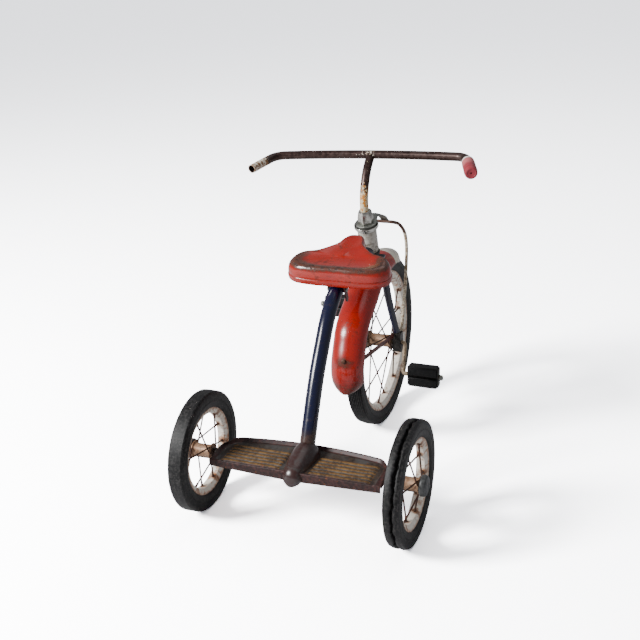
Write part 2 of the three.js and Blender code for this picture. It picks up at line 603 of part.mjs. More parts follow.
// One point of the fender's skin. `round` runs from -1 at one edge to 1 at the other.
function fenderPoint(angle, round, inset) {
  const tail = THREE.MathUtils.clamp((angle - FENDER.tailStart) / (CROWN.at(-1)[0] - FENDER.tailStart), 0, 1);
  const narrowing = Math.sqrt(1 - tail * tail * 0.88);
  const beta = (round * Math.PI) / 2;
  const x = (FENDER.halfWidth - inset) * narrowing * Math.sin(beta);
  const radius = crownRadius(angle) - inset - FENDER.depth * narrowing * (1 - Math.cos(beta));
  const way = THREE.MathUtils.degToRad(angle);
  return at(x, FRONT_AXLE.y - radius * Math.sin(way), FRONT_AXLE.z + radius * Math.cos(way));
}

function fenderSkin() {
  const { across, wall, tailStart } = FENDER;
  const body = Array.from({ length: 15 }, (_, i) => THREE.MathUtils.lerp(CROWN[0][0], tailStart, i / 14));
  const tail = [0.4, 0.65, 0.82, 0.94, 1].map((t) => THREE.MathUtils.lerp(tailStart, CROWN.at(-1)[0], t));
  const rings = [...body, ...tail].map((angle) => {
    const rounds = Array.from({ length: across + 1 }, (_, j) => (2 * j) / across - 1);
    const row = (inset) => rounds.map((round) => fenderPoint(angle, round, inset));
    return [...row(0), ...row(wall).reverse()];
  });
  return stripEnds(rings, across + 1);
}

// A skin over thin double rings, whose ends are closed by a strip between both faces.
function stripEnds(rings, across) {
  const count = rings[0].length;
  const body = skin(rings);
  const middles = 2 * count; // the two fans that skin() adds have one face for each ring point
  const index = [...body.index.array].slice(0, (body.index.count / 3 - middles) * 3);
  for (const [ring, turn] of [[0, 1], [rings.length - 1, 0]]) {
    for (let j = 0; j < across - 1; j++) {
      const [a, b] = [ring * count + j, ring * count + j + 1];
      const [c, d] = [ring * count + count - 2 - j, ring * count + count - 1 - j];
      index.push(...(turn ? [a, c, b, a, d, c] : [a, b, c, a, c, d]));
    }
  }
  const points = body.getAttribute("position").array.slice(0, rings.length * count * 3);
  const closedBody = new THREE.BufferGeometry();
  closedBody.setAttribute("position", new THREE.BufferAttribute(points, 3));
  return closedBody.setIndex(index);
}

function addFender() {
  const legRoom = SIDES.map(([, side]) => taperedBar(forkLeg(side), 9.8 + 1, 7.5 + 1, 12));
  const through = (from, to, radius) =>
    bar([fenderPoint(STAY_ANGLE, 0, from), fenderPoint(STAY_ANGLE, 0, to)], radius, 8);
  const rivetRoom = through(-6, 14, 2.5 + GAP);
  addMesh(tricycle, "front_fender", cut(fenderSkin(), ...legRoom, rivetRoom), PAINT_RED);
  addMesh(tricycle, "fender_rivet", join(through(-2.9, -0.9, 5), through(-1, 10.5, 2.5)), RUSTY_STEEL);
  const crown = [-0.82, -0.5, 0, 0.5, 0.82].map((round) => fenderPoint(STAY_ANGLE, round, 6.5));
  const end = (side) => at(side * 37, FRONT_AXLE.y - 14, FRONT_AXLE.z + 21);
  const stay = strap([end(-1), ...crown, end(1)], at(0, 0.13, 0.99), 11, 2.2);
  addMesh(tricycle, "fender_stay", cut(stay, rivetRoom), RUSTY_STEEL);
}

// ---------------------------------------------------------------- handlebar

// The crossbar's centreline, a little bowed, with its ends swept back and down.
function crossbarLine() {
  const [straight, bow, bend, sweep, leg, drop] = [197, 16, 33, 1.28, 69, 0.124];
  const half = [0, 0.35, 0.7, 1].map((t) => at(straight * t, -bow * t * t, 0));
  const turns = 4;
  const first = Math.atan(2 * bow / straight);
  let point = half.at(-1);
  for (let i = 0; i < turns; i++) {
    const way = THREE.MathUtils.lerp(first, sweep, (i + 0.5) / turns);
    const run = (bend * (sweep - first)) / turns;
    point = point.clone().add(at(Math.cos(way), -Math.sin(way), -drop * Math.sin(way)).multiplyScalar(run));
    half.push(point);
  }
  half.push(point.clone().add(at(Math.cos(sweep), -Math.sin(sweep), -drop).multiplyScalar(leg)));
  const other = half.slice(1).map((p) => p.clone().setX(-p.x)).reverse();
  return [...other, ...half];
}

// The bar sits a little askew on its stem.
function placeBar(geometry) {
  return geometry.rotateY(-0.028).rotateZ(0.046).translate(-1.3, 459.4, 663);
}

function addHandlebar() {
  const line = crossbarLine();
  addMesh(tricycle, "crossbar", placeBar(tube(line, BAR_RADIUS, BAR_WALL, 12)), OLD_CHROME);
  const stemLine = [
    ...[290, 345].map(onAxis),
    ...smoothLine([
      onAxis(366), at(-0.4, 405, 578), at(-0.9, 413, 604), at(-1.2, 430, 634), at(-1.3, 455.5, 659.5),
    ], 6),
  ];
  const barRoom = placeBar(bar([at(-60, -1.5, 0), at(0, 0, 0), at(60, -1.5, 0)], BAR_RADIUS + GAP, 20));
  const stem = cut(tube(stemLine, BAR_RADIUS, BAR_WALL, 12), barRoom);
  addMesh(tricycle, "handlebar_stem", stem, OLD_CHROME);
  const [before, end] = line.slice(-2);
  const way = end.clone().sub(before).normalize();
  const back = (distance) => end.clone().addScaledVector(way, distance);
  const tip = (distance, radius) =>
    sectionsAlong([back(distance - 1), back(distance + 1)], () => radius, 14)[0];
  const grip = skin([tip(-62, 12), tip(-57, 14), tip(6, 13.5), tip(11, 11)]);
  const gripRoom = bar([back(-80), back(1.4)], BAR_RADIUS + GAP, 14);
  addMesh(tricycle, "right_grip", placeBar(cut(grip, gripRoom)), RED_GRIP);
}

addFrame();
addSeat();
addHead();
addFork();
addTruss();
addFender();
addHandlebar();
addFrontWheel();
addCrank();
for (const [name, side] of SIDES) {
  addAxleBearing(name, side);
  addPedal(name, side);
  addPedalNut(name, side);
  addRearWheel(name, side);
}

export default tricycle;
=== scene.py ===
"""The looks of a child's pedal tricycle: worn enamel, rusty wire wheels, solid rubber tyres.

Metres, +Z up, +Y forwards, +X to the rider's right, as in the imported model.
"""

import json
import logging
import math
from dataclasses import dataclass
from enum import Enum
from typing import Callable, Sequence

import bpy
from mathutils import Matrix, Vector, noise


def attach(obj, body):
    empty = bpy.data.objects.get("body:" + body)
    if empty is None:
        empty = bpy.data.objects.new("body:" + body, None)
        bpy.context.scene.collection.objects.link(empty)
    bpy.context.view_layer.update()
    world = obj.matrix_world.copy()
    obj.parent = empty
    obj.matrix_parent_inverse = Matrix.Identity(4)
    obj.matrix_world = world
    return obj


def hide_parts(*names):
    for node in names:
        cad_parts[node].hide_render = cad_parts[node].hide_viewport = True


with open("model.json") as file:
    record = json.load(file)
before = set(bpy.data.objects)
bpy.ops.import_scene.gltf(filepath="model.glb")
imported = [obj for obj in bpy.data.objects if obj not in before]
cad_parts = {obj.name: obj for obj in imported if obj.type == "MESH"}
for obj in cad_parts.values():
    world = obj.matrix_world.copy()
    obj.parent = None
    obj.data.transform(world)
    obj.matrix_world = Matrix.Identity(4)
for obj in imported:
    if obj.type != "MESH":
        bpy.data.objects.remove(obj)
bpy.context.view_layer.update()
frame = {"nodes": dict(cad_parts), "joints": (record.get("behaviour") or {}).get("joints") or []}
LOG = logging.getLogger("tricycle")
MM = 0.001
TOUCHING = 0.00001
ACROSS = Vector((1, 0, 0))
SIDES = (("left", -1), ("right", 1))
JOINTS = {joint["name"]: joint for joint in frame["joints"]}
FRONT_AXLE = Vector(JOINTS["front_wheel_spin"]["pos_m"])
REAR_AXLE = Vector((0, *JOINTS["left_rear_wheel_spin"]["pos_m"][1:]))
STEERING_AXIS = Vector(JOINTS["steering_turn"]["axis"]).normalized()
SEED = 12
noise.seed_set(SEED)


class Tread(Enum):
    """How the running face of a tyre looks."""

    RIBBED = "fine ribs all round"
    PLAIN = "flat, with a fine line near one shoulder"
    SPLIT = "worn, with a ragged split all round"


def mm(x: float, y: float, z: float) -> Vector:
    """A point in millimetres from the floor under the rear axle."""
    return Vector((x * MM, REAR_AXLE.y + y * MM, z * MM))


def up_head(distance: float) -> Vector:
    """The point on the steering axis that many millimetres up from the front axle."""
    return FRONT_AXLE + STEERING_AXIS * distance * MM


def lerp(a: float, b: float, t: float) -> float:
    """The value a share t of the way from a to b."""
    return a + (b - a) * t


def fade(value: float, low: float, high: float) -> float:
    """A smooth step from 0 at low to 1 at high, which may be the smaller one."""
    t = min(max((value - low) / (high - low), 0.0), 1.0)
    return t * t * (3 - 2 * t)


def rgba(code: str) -> tuple[float, float, float, float]:
    """Linear colour for a six-digit web colour.

    Args:
        code: Six hexadecimal digits.

    Returns:
        The colour as the shader sockets take it.
    """
    channels = [int(code[i:i + 2], 16) / 255 for i in (0, 2, 4)]
    return (*[c / 12.92 if c < 0.04045 else ((c + 0.055) / 1.055) ** 2.4 for c in channels], 1.0)


# ------------------------------------------------------------------ lines

def spline(points: Sequence[Vector], steps: int = 8) -> list[Vector]:
    """A smooth line through a few points.

    Args:
        points: The points that the line passes through.
        steps: How many pieces each stretch is divided into.

    Returns:
        The points of the line.
    """
    ends = [points[0] * 2 - points[1], *points, points[-1] * 2 - points[-2]]
    line = []
    for a, b, c, d in zip(ends, ends[1:], ends[2:], ends[3:]):
        knots = [0.0]
        for p, q in ((a, b), (b, c), (c, d)):
            knots.append(knots[-1] + max((q - p).length, 1e-9) ** 0.5)
        line += [on_spline((a, b, c, d), knots, lerp(knots[1], knots[2], i / steps)) for i in range(steps)]
    return [*line, points[-1].copy()]


def on_spline(points: Sequence[Vector], knots: Sequence[float], t: float) -> Vector:
    """One point of a centripetal spline between the second and third of four points.

    Args:
        points: The four points.
        knots: Their knot values.
        t: The knot value wanted.

    Returns:
        The point.
    """
    level = list(points)
    for first, span in ((0, 1), (0, 2), (1, 1)):
        level = [
            p.lerp(q, (t - knots[first + i]) / (knots[first + i + span] - knots[first + i]))
            for i, (p, q) in enumerate(zip(level, level[1:]))
        ]
    return level[0]


def arc(start: Vector, corner: Vector, end: Vector, t: float) -> Vector:
    """The point a share t of the way round a bend inside a corner."""
    return start * (1 - t) ** 2 + corner * 2 * t * (1 - t) + end * t * t


def rounded(corners: Sequence[tuple[float, float]], radius: float, steps: int = 3) -> list[tuple[float, float]]:
    """A closed outline in the plane with its corners rounded.

    Args:
        corners: The corners in order.
        radius: How far each rounding reaches along its edges, at most.
        steps: How many pieces each rounding has.

    Returns:
        The points of the rounded outline.
    """
    found = []
    count = len(corners)
    for i in range(count):
        before, here, after = (Vector(corners[(i + k) % count]) for k in (-1, 0, 1))
        reach = min(radius, (before - here).length * 0.45, (after - here).length * 0.45)
        start = here + (before - here).normalized() * reach
        end = here + (after - here).normalized() * reach
        for k in range(steps + 1):
            found.append(tuple(arc(start, here, end, k / steps)))
    return found


def bent(corners: Sequence[Vector], reach: float, steps: int = 6) -> list[Vector]:
    """Straight runs joined by round bends.

    Args:
        corners: The corners of the line.
        reach: How far from its corner each bend starts, in metres.
        steps: How many pieces each bend has.

    Returns:
        The points of the line.
    """
    line = [corners[0]]
    for before, here, after in zip(corners, corners[1:], corners[2:]):
        start = here + (before - here).normalized() * reach
        end = here + (after - here).normalized() * reach
        line += [arc(start, here, end, k / steps) for k in range(steps + 1)]
    return [*line, corners[-1]]


def ring(inner: float, outer: float, start: float, end: float) -> list[tuple[float, float]]:
    """The square section of a ring, as radius and distance along its axis."""
    return [(inner, start), (outer, start), (outer, end), (inner, end)]


def mirrored(profile: Sequence[tuple[float, float]]) -> list[tuple[float, float]]:
    """A profile continued on the other side, where it runs backwards."""
    return [(radius, -along) for radius, along in reversed(profile)]


# ------------------------------------------------------------------ modelling

def select_only(*pieces: bpy.types.Object) -> None:
    """Selects these pieces and nothing else, the first one active."""
    bpy.ops.object.select_all(action="DESELECT")
    for piece in pieces:
        piece.select_set(True)
    bpy.context.view_layer.objects.active = pieces[0] if pieces else None


def shaded(piece: bpy.types.Object, smooth: float = 40) -> bpy.types.Object:
    """Smooths the shading, except over edges sharper than that many degrees."""
    select_only(piece)
    bpy.ops.object.shade_smooth_by_angle(angle=math.radians(smooth))
    return piece


def clean(piece: bpy.types.Object, smooth: float = 40) -> bpy.types.Object:
    """Merges doubles, turns the faces outwards and smooths the shading.

    Args:
        piece: The piece.
        smooth: Edges sharper than this many degrees stay sharp.

    Returns:
        The same piece.
    """
    select_only(piece)
    bpy.ops.object.mode_set(mode="EDIT")
    bpy.ops.mesh.select_all(action="SELECT")
    bpy.ops.mesh.remove_doubles(threshold=TOUCHING)
    bpy.ops.mesh.dissolve_degenerate(threshold=TOUCHING)
    bpy.ops.mesh.normals_make_consistent(inside=False)
    bpy.ops.object.mode_set(mode="OBJECT")
    return shaded(piece, smooth)


def modify(piece: bpy.types.Object, kind: str, **settings: object) -> bpy.types.Object:
    """Adds a modifier and applies it.

    Args:
        piece: The piece.
        kind: The modifier's type.
        **settings: The modifier's own settings.

    Returns:
        The same piece.
    """
    select_only(piece)
    modifier = piece.modifiers.new(kind.lower(), kind)
    for key, value in settings.items():
        setattr(modifier, key, value)
    bpy.ops.object.modifier_apply(modifier=modifier.name)
    return piece


def spun(
    name: str, profile: Sequence[tuple[float, float]], centre: Vector, axis: Vector = ACROSS,
    steps: int = 48, closed: bool = True, smooth: float = 35,
) -> bpy.types.Object:
    """A turned piece: a point drawn out along the profile, and that line spun about the axis.

    Args:
        name: The piece's name.
        profile: Pairs of radius and distance along the axis, in millimetres.
        centre: Where distance 0 is.
        axis: The direction of its axis.
        steps: How many facets go round.
        closed: Whether the profile's end joins its start.
        smooth: Edges sharper than this many degrees stay sharp.

    Returns:
        The piece.
    """
    select_only()
    bpy.ops.mesh.primitive_plane_add(size=0.001, location=(0, 0, 0))
    piece = bpy.context.object
    piece.name = name
    bpy.ops.object.mode_set(mode="EDIT")
    bpy.ops.mesh.merge(type="CENTER")
    route = [Vector((along * MM, 0, radius * MM)) for radius, along in profile]
    if closed:
        route.append(route[0].copy())
    bpy.ops.transform.translate(value=route[0])
    for here, there in zip(route, route[1:]):
        bpy.ops.mesh.extrude_vertices_move(TRANSFORM_OT_translate={"value": there - here})
    bpy.ops.mesh.select_all(action="SELECT")
    bpy.ops.mesh.spin(steps=steps, angle=2 * math.pi, center=(0, 0, 0), axis=(1, 0, 0), dupli=False)
    bpy.ops.object.mode_set(mode="OBJECT")
    way = ACROSS.rotation_difference(axis).to_matrix().to_4x4()
    piece.data.transform(Matrix.Translation(centre) @ way)
    return clean(piece, smooth)


def sheet(
    name: str, place: Callable[[float, float], Vector], across: int, along: int,
    thickness: float = 0, smooth: float = 40,
    masks: dict[str, Callable[[float, float], float]] | None = None,
) -> bpy.types.Object:
    """A grid shaped into a pressed sheet, or into a closed skin where its edges meet.

    Args:
        name: The piece's name.
        place: Where the point at u, v in 0 to 1 goes, in metres.
        across: How many faces the sheet has along u.
        along: How many faces it has along v.
        thickness: The metal's thickness in millimetres, inwards, or 0 for a closed skin.
        smooth: Edges sharper than this many degrees stay sharp.
        masks: Numbers from 0 to 1 to store at each point, as functions of u and v.

    Returns:
        The piece.
    """
    select_only()
    bpy.ops.mesh.primitive_grid_add(x_subdivisions=across, y_subdivisions=along, size=2)
    piece = bpy.context.object
    piece.name = name
    spots = [((vertex.co.x + 1) / 2, (vertex.co.y + 1) / 2) for vertex in piece.data.vertices]
    for key, amount in (masks or {}).items():
        mask = piece.data.attributes.new(key, "FLOAT", "POINT")
        mask.data.foreach_set("value", [amount(u, v) for u, v in spots])
    for vertex, (u, v) in zip(piece.data.vertices, spots):
        vertex.co = place(u, v)
    clean(piece, smooth)
    if not thickness:
        return piece
    modify(piece, "SOLIDIFY", thickness=thickness * MM, offset=-1, use_even_offset=True)
    return shaded(piece, smooth)


def pipe(
    name: str, line: Sequence[Vector], radii: Sequence[float], sides: int = 24, wall: float = 0,
) -> bpy.types.Object:
    """A round bar or tube along a line: a curve with a bevel, made a mesh.

    Args:
        name: The piece's name.
        line: The centreline, in metres.
        radii: One radius, one for each end, or one for each point, in millimetres.
        sides: How many facets go round.
        wall: The wall of an open tube in millimetres, or 0 for a solid bar.

    Returns:
        The piece.
    """
    select_only()
    bpy.ops.curve.primitive_bezier_curve_add(location=(0, 0, 0))
    piece = bpy.context.object
    piece.name = name
    curve = piece.data
    curve.splines.clear()
    path = curve.splines.new("POLY")
    path.points.add(len(line) - 1)
    each = radii if len(radii) == len(line) else [
        lerp(radii[0], radii[-1], i / (len(line) - 1)) for i in range(len(line))
    ]
    for spot, point, radius in zip(path.points, line, each):
        spot.co = (*point, 1)
        spot.radius = radius * MM
    curve.dimensions = "3D"
    curve.twist_mode = "MINIMUM"
    curve.bevel_depth = 1
    curve.bevel_resolution = sides // 2 - 2
    curve.use_fill_caps = not wall
    select_only(piece)
    bpy.ops.object.convert(target="MESH")
    clean(piece)
    if not wall:
        return piece
    modify(piece, "SOLIDIFY", thickness=wall * MM, offset=-1, use_even_offset=True)
    return shaded(piece)


def refined(name: str, node: str, bevel: float) -> bpy.types.Object:
    """A copy of a CAD node, merged, with its flat faces whole again and its edges rounded.

    Args:
        name: The piece's name.
        node: The CAD node.
        bevel: The rounding of its edges, in millimetres.

    Returns:
        The piece.
    """
    piece = frame["nodes"][node].copy()
    piece.data = frame["nodes"][node].data.copy()
    piece.parent = None
    for key in list(piece.keys()):
        del piece[key]
    bpy.context.scene.collection.objects.link(piece)
    piece.name = name
    select_only(piece)
    bpy.ops.object.mode_set(mode="EDIT")
    bpy.ops.mesh.select_all(action="SELECT")
    bpy.ops.mesh.remove_doubles(threshold=2 * TOUCHING)
    bpy.ops.mesh.dissolve_limited(angle_limit=math.radians(1))
    bpy.ops.object.mode_set(mode="OBJECT")
    modify(piece, "BEVEL", width=bevel * MM, segments=2, limit_method="ANGLE", angle_limit=math.radians(30))
    return shaded(piece, 35)


def copied(piece: bpy.types.Object, name: str, change: Matrix) -> bpy.types.Object:
    """A copy of a piece with its own mesh, moved or turned.

    Args:
        piece: The piece.
        name: The copy's name.
        change: How it is moved or turned.

    Returns:
        The copy.
    """
    twin = piece.copy()
    twin.data = piece.data.copy()
    twin.name = name
    twin.data.transform(change)
    bpy.context.scene.collection.objects.link(twin)
    return twin


def joined(name: str, pieces: Sequence[bpy.types.Object]) -> bpy.types.Object:
    """Several meshes as one piece."""
    select_only(*pieces)
    bpy.ops.object.join()
    pieces[0].name = name
    pieces[0].data.name = name
    return pieces[0]


def painted_mask(piece: bpy.types.Object, name: str, amount: Callable[[Vector], float]) -> None:
    """Stores a number from 0 to 1 at each point of a mesh, for its material to read."""
    mask = piece.data.attributes.new(name, "FLOAT", "POINT")
    mask.data.foreach_set("value", [amount(vertex.co) for vertex in piece.data.vertices])


def ruffled(piece: bpy.types.Object, amount: float, size: float) -> None:
    """Moves each point a little, up to about `amount` millimetres, over lumps of that size."""
    for vertex in piece.data.vertices:
        vertex.co += noise.noise_vector(vertex.co / (size * MM)) * amount * MM
    piece.data.update()


def turned_about(axle: Vector, angle: float) -> Matrix:
    """A turn about a line across the tricycle through a point."""
    return Matrix.Translation(axle) @ Matrix.Rotation(angle, 4, "X") @ Matrix.Translation(-axle)


# ------------------------------------------------------------------ shading

class Value:
    """A number that varies over a surface, as a shader socket that can be used in sums."""

    def __init__(self, surface: "Surface", socket: bpy.types.NodeSocket) -> None:
        """Keeps the socket and the surface it belongs to."""
        self.surface = surface
        self.socket = socket

    def sum(self, operation: str, first: object, second: object = 0.0) -> "Value":
        """The result of a Math node."""
        return self.surface.node("ShaderNodeMath", {"operation": operation}, {0: first, 1: second})

    def __add__(self, other: object) -> "Value":
        """This plus another."""
        return self.sum("ADD", self, other)

    def __sub__(self, other: object) -> "Value":
        """This less another."""
        return self.sum("SUBTRACT", self, other)

    def __rsub__(self, other: object) -> "Value":
        """Another less this."""
        return self.sum("SUBTRACT", other, self)

    def __mul__(self, other: object) -> "Value":
        """This times another."""
        return self.sum("MULTIPLY", self, other)

    def __or__(self, other: object) -> "Value":
        """The larger of this and another."""
        return self.sum("MAXIMUM", self, other)

    __radd__ = __add__
    __rmul__ = __mul__


class Surface:
    """The nodes of one material, around a Principled shader."""

    def __init__(self, name: str) -> None:
        """Makes an empty material with its shader and output."""
        self.material = bpy.data.materials.new(name)
        self.material.use_nodes = True
        self.tree = self.material.node_tree
        self.tree.nodes.clear()
        self.shader = self.tree.nodes.new("ShaderNodeBsdfPrincipled")
        out = self.tree.nodes.new("ShaderNodeOutputMaterial")
        self.tree.links.new(self.shader.outputs[0], out.inputs["Surface"])
        self.place = self.node("ShaderNodeTexCoord", {}, {}, "Object")

    def node(self, kind: str, settings: dict, sockets: dict, output: object = 0) -> Value:
        """Adds any node.

        Args:
            kind: The node's type.
            settings: Its own settings, such as a Math node's operation.
            sockets: A value or a link for each input.
            output: The output wanted.

        Returns:
            That output.
        """
        made = self.tree.nodes.new(kind)
        for key, value in settings.items():
            setattr(made, key, value)
        for key, value in sockets.items():
            if isinstance(value, Value):
                self.tree.links.new(value.socket, made.inputs[key])
            else:
                made.inputs[key].default_value = value
        return Value(self, made.outputs[output])

    def set(self, **sockets: object) -> None:
        """Sets the shader's sockets, with underscores for the spaces in their names."""
        for key, value in sockets.items():
            socket = self.shader.inputs[key.replace("_", " ")]
            if isinstance(value, Value):
                self.tree.links.new(value.socket, socket)
            else:
                socket.default_value = value

    def stretched(self, x: float, y: float, z: float) -> Value:
        """Object coordinates scaled along each axis."""
        return self.node("ShaderNodeMapping", {}, {"Vector": self.place, "Scale": (x, y, z)})

    def cloud(self, size: float, detail: float = 4, rough: float = 0.55, place: Value | None = None) -> Value:
        """Noise whose lumps are about that many millimetres across, from 0 to 1."""
        sockets = {"Vector": place or self.place, "Scale": 1000 / size, "Detail": detail, "Roughness": rough}
        return self.node("ShaderNodeTexNoise", {}, sockets)

    def cells(self, size: float) -> Value:
        """The distance to the nearest of scattered points about that many millimetres apart."""
        return self.node("ShaderNodeTexVoronoi", {}, {"Vector": self.place, "Scale": 1000 / size})

    def step(self, value: Value, low: float, high: float) -> Value:
        """A smooth step from 0 at low to 1 at high."""
        way = (0.0, 1.0) if low < high else (1.0, 0.0)
        ends = {"Value": value, 1: min(low, high), 2: max(low, high), 3: way[0], 4: way[1]}
        return self.node("ShaderNodeMapRange", {"interpolation_type": "SMOOTHSTEP"}, ends)

    def mask(self, name: str) -> Value:
        """The number stored at each point of the mesh."""
        return self.node("ShaderNodeAttribute", {"attribute_name": name}, {}, "Fac")

    def mix(self, share: Value, first: object, second: object) -> Value:
        """The first colour where share is 0 and the second where it is 1."""
        sockets = {"Factor": share, 6: first, 7: second}
        return self.node("ShaderNodeMix", {"data_type": "RGBA"}, sockets, 2)

    def bump(self, height: Value, depth: float) -> Value:
        """A normal for that height, in millimetres from lowest to highest."""
        return self.node("ShaderNodeBump", {}, {"Height": height, "Distance": depth * MM, "Strength": 1.0})


@dataclass(frozen=True)
class Enamel:
    """Old gloss paint that is faded, scuffed, stained and chipped down to rust."""

    name: str
    slot: str
    paint: str
    faded: str
    grime: str
    rust: str = "3a1d12"
    rubbed: str = "5b3a2c"
    deep_rust: str = "1c100d"
    gloss: float = 0.28
    coat: float = 0.35
    fading: float = 0.5
    dirt: float = 0.5
    chips: float = 0.5
    chip_size: float = 6
    worn_mask: str = ""
    pale_mask: str = ""
    pale: str = "d8d2c0"

    def material(self) -> bpy.types.Material:
        """Builds the material."""
        s = Surface(self.name)
        broad, fine, specks = s.cloud(70, 3), s.cloud(9, 6, 0.6), s.cloud(1.1, 3)
        scratch = s.cloud(14, 3, 0.5, s.stretched(0.35, 1.0, 3.2))
        colour = s.mix(s.step(broad + fine * 0.35, 0.5, 0.85) * self.fading, rgba(self.paint), rgba(self.faded))
        if self.pale_mask:
            colour = s.mix(s.step(s.mask(self.pale_mask) + fine * 0.5 - 0.25, 0.3, 0.5), colour, rgba(self.pale))
        soiled = fine * 0.6 + broad * 0.4 + specks * 0.15
        grime = s.step(soiled, 0.66 - 0.1 * self.dirt, 0.74 - 0.06 * self.dirt) * (0.35 + 0.5 * self.dirt)
        lines = s.step(scratch, 0.61, 0.67) * self.dirt * 0.6
        colour = s.mix(grime | lines, colour, rgba(self.grime))
        bare = s.step(
            s.cloud(self.chip_size, 5, 0.62) + specks * 0.12, 0.76 - 0.1 * self.chips, 0.785 - 0.1 * self.chips,
        )
        if self.worn_mask:
            worn = s.mask(self.worn_mask)
            halo = s.step(worn + (fine - 0.5) * 0.7 + (broad - 0.5) * 0.4, 0.15, 0.7)
            colour = s.mix(halo * 0.75, colour, rgba(self.grime))
            rubbed = s.step(worn + (fine - 0.5) * 0.9 + (specks - 0.5) * 0.4, 0.5, 0.8)
            colour = s.mix(rubbed * 0.85, colour, s.mix(s.step(specks, 0.4, 0.6), rgba(self.rust), rgba(self.rubbed)))
            bare = bare | s.step(worn + (fine - 0.5) * 1.5, 0.95, 1.05)
        rust = s.mix(s.step(specks + fine * 0.6, 0.6, 1.0), rgba(self.deep_rust), rgba(self.rust))
        colour = s.mix(bare, colour, rust)
        s.set(
            Base_Color=colour,
            Roughness=s.step(bare + grime * 0.5 + (fine - 0.5) * 0.2, 0, 1) * (0.8 - self.gloss) + self.gloss,
            Coat_Weight=(1 - (bare | grime)) * self.coat,
            Normal=s.bump((1 - bare) * 0.8 + fine * 0.3 + specks * 0.08 + broad, 0.3),
        )
        s.shader.inputs["Coat Roughness"].default_value = 0.16
        return s.material


@dataclass(frozen=True)
class Step:
    """Brown enamel over steel, ochre along the ridge tops and blue-grey on the flange; the ochre is rubbed paint and
    also painted highlight, with the grooves left dark as painted shade.
    """

    name: str = "step_enamel"
    slot: str = "rusty_enamel"

    def material(self) -> bpy.types.Material:
        """Builds the material."""
        s = Surface(self.name)
        broad, fine, specks = s.cloud(38, 4), s.cloud(6, 6, 0.62), s.cloud(1.0, 3)
        crest, edge = s.mask("crest"), s.mask("edge")
        colour = s.mix(s.step(fine + broad * 0.5, 0.55, 0.95), rgba("211a18"), rgba("42382f"))
        colour = s.mix(s.step(broad, 0.46, 0.66) * 0.6, colour, rgba("484848"))
        # Ochre on the ridge tops over darker grooves: partly rubbed paint, partly painted highlight on the tops and
        # painted shade in the grooves.
        ochre = s.mix(s.step(fine + broad * 0.6, 0.6, 1.0), rgba("4b3621"), rgba("7b5a30"))
        colour = s.mix(s.step(crest + (fine - 0.5) * 0.4 + (broad - 0.5) * 0.9, 0.3, 0.85) * 0.9, colour, ochre)
        purple = s.mix(s.step(fine + broad * 0.4, 0.6, 0.86), rgba("231414"), rgba("422724"))
        colour = s.mix(s.step(edge + (fine - 0.5) * 0.4, 0.35, 0.6), colour, purple)
        bare = s.step(s.cloud(7, 5, 0.65) + specks * 0.14, 0.72, 0.75)
        colour = s.mix(bare, colour, s.mix(specks, rgba("2a1710"), rgba("8a4f26")))
        s.set(
            Base_Color=colour,
            Roughness=s.step(fine * 0.6 + bare * 0.5, 0.1, 1.0) * 0.3 + 0.42,
            Metallic=crest * 0.1 + 0.05,
            Normal=s.bump(fine * 0.4 + specks * 0.15 - bare * 0.5, 0.2),
        )
        s.shader.inputs["Specular IOR Level"].default_value = 0.35
        return s.material


@dataclass(frozen=True)
class Metal:
    """Bare or plated metal with stains, streaks and pits."""

    name: str
    slot: str
    bright: str
    dull: str
    stain: str
    metallic: float = 0.8
    gloss: float = 0.35
    stains: float = 0.5
    pits: float = 0.2
    size: float = 7
    flake_mask: str = ""
    flakes: tuple[str, str] = ("d8cba6", "c07a20")

    def material(self) -> bpy.types.Material:
        """Builds the material."""
        s = Surface(self.name)
        broad, fine, specks = s.cloud(self.size * 5, 4), s.cloud(self.size, 6, 0.62), s.cloud(0.9, 3)
        colour = s.mix(s.step(fine + broad * 0.4, 0.5, 0.85), rgba(self.dull), rgba(self.bright))
        stain = s.step(fine * 0.6 + broad * 0.5 + specks * 0.15, 0.85 - 0.36 * self.stains, 0.92 - 0.3 * self.stains)
        colour = s.mix(stain * 0.9, colour, rgba(self.stain))
        metallic = (1 - stain * 0.75) * self.metallic
        rough = stain * 0.35 + fine * 0.2 + (self.gloss - 0.1)
        height = fine * 0.5 + specks * self.pits - stain * 0.3
        if self.flake_mask:
            flake = s.step(s.mask(self.flake_mask) + (s.cloud(5, 5, 0.65) - 0.5) * 1.7, 0.42, 0.5)
            tint = s.mix(s.step(s.cloud(6, 4) + fine * 0.3, 0.6, 0.72), rgba(self.flakes[0]), rgba(self.flakes[1]))
            colour = s.mix(flake, colour, s.mix(s.step(specks + fine, 1.12, 1.3), tint, rgba(self.stain)))
            metallic = metallic * (1 - flake)
            rough = rough + flake * 0.25
            height = height + flake * 0.8
        s.set(Base_Color=colour, Metallic=metallic, Roughness=rough, Normal=s.bump(height, 0.16))
        return s.material


@dataclass(frozen=True)
class Rubber:
    """Hard old rubber with dust, rubbed patches and pale specks."""

    name: str
    slot: str
    base: str = "131314"
    dusty: str = "3c3a39"
    gloss: float = 0.62
    specks: float = 0.4
    dust_size: float = 24

    def material(self) -> bpy.types.Material:
        """Builds the material."""
        s = Surface(self.name)
        broad, fine, grain = s.cloud(self.dust_size, 5, 0.6), s.cloud(4, 5, 0.6), s.cloud(0.8, 3)
        colour = s.mix(s.step(broad + fine * 0.4, 0.62, 0.9) * 0.75, rgba(self.base), rgba(self.dusty))
        dots = s.step(s.cells(9) + fine * 0.1, 0.135, 0.11) * s.step(s.cloud(40, 2), 0.52, 0.6) * self.specks
        colour = s.mix(dots, colour, rgba("b9b4ab"))
        s.set(
            Base_Color=colour,
            Roughness=broad * 0.25 + (self.gloss - 0.08),
            Normal=s.bump(fine * 0.6 + grain * 0.4, 0.4),
        )
        s.shader.inputs["Specular IOR Level"].default_value = 0.3
        return s.material


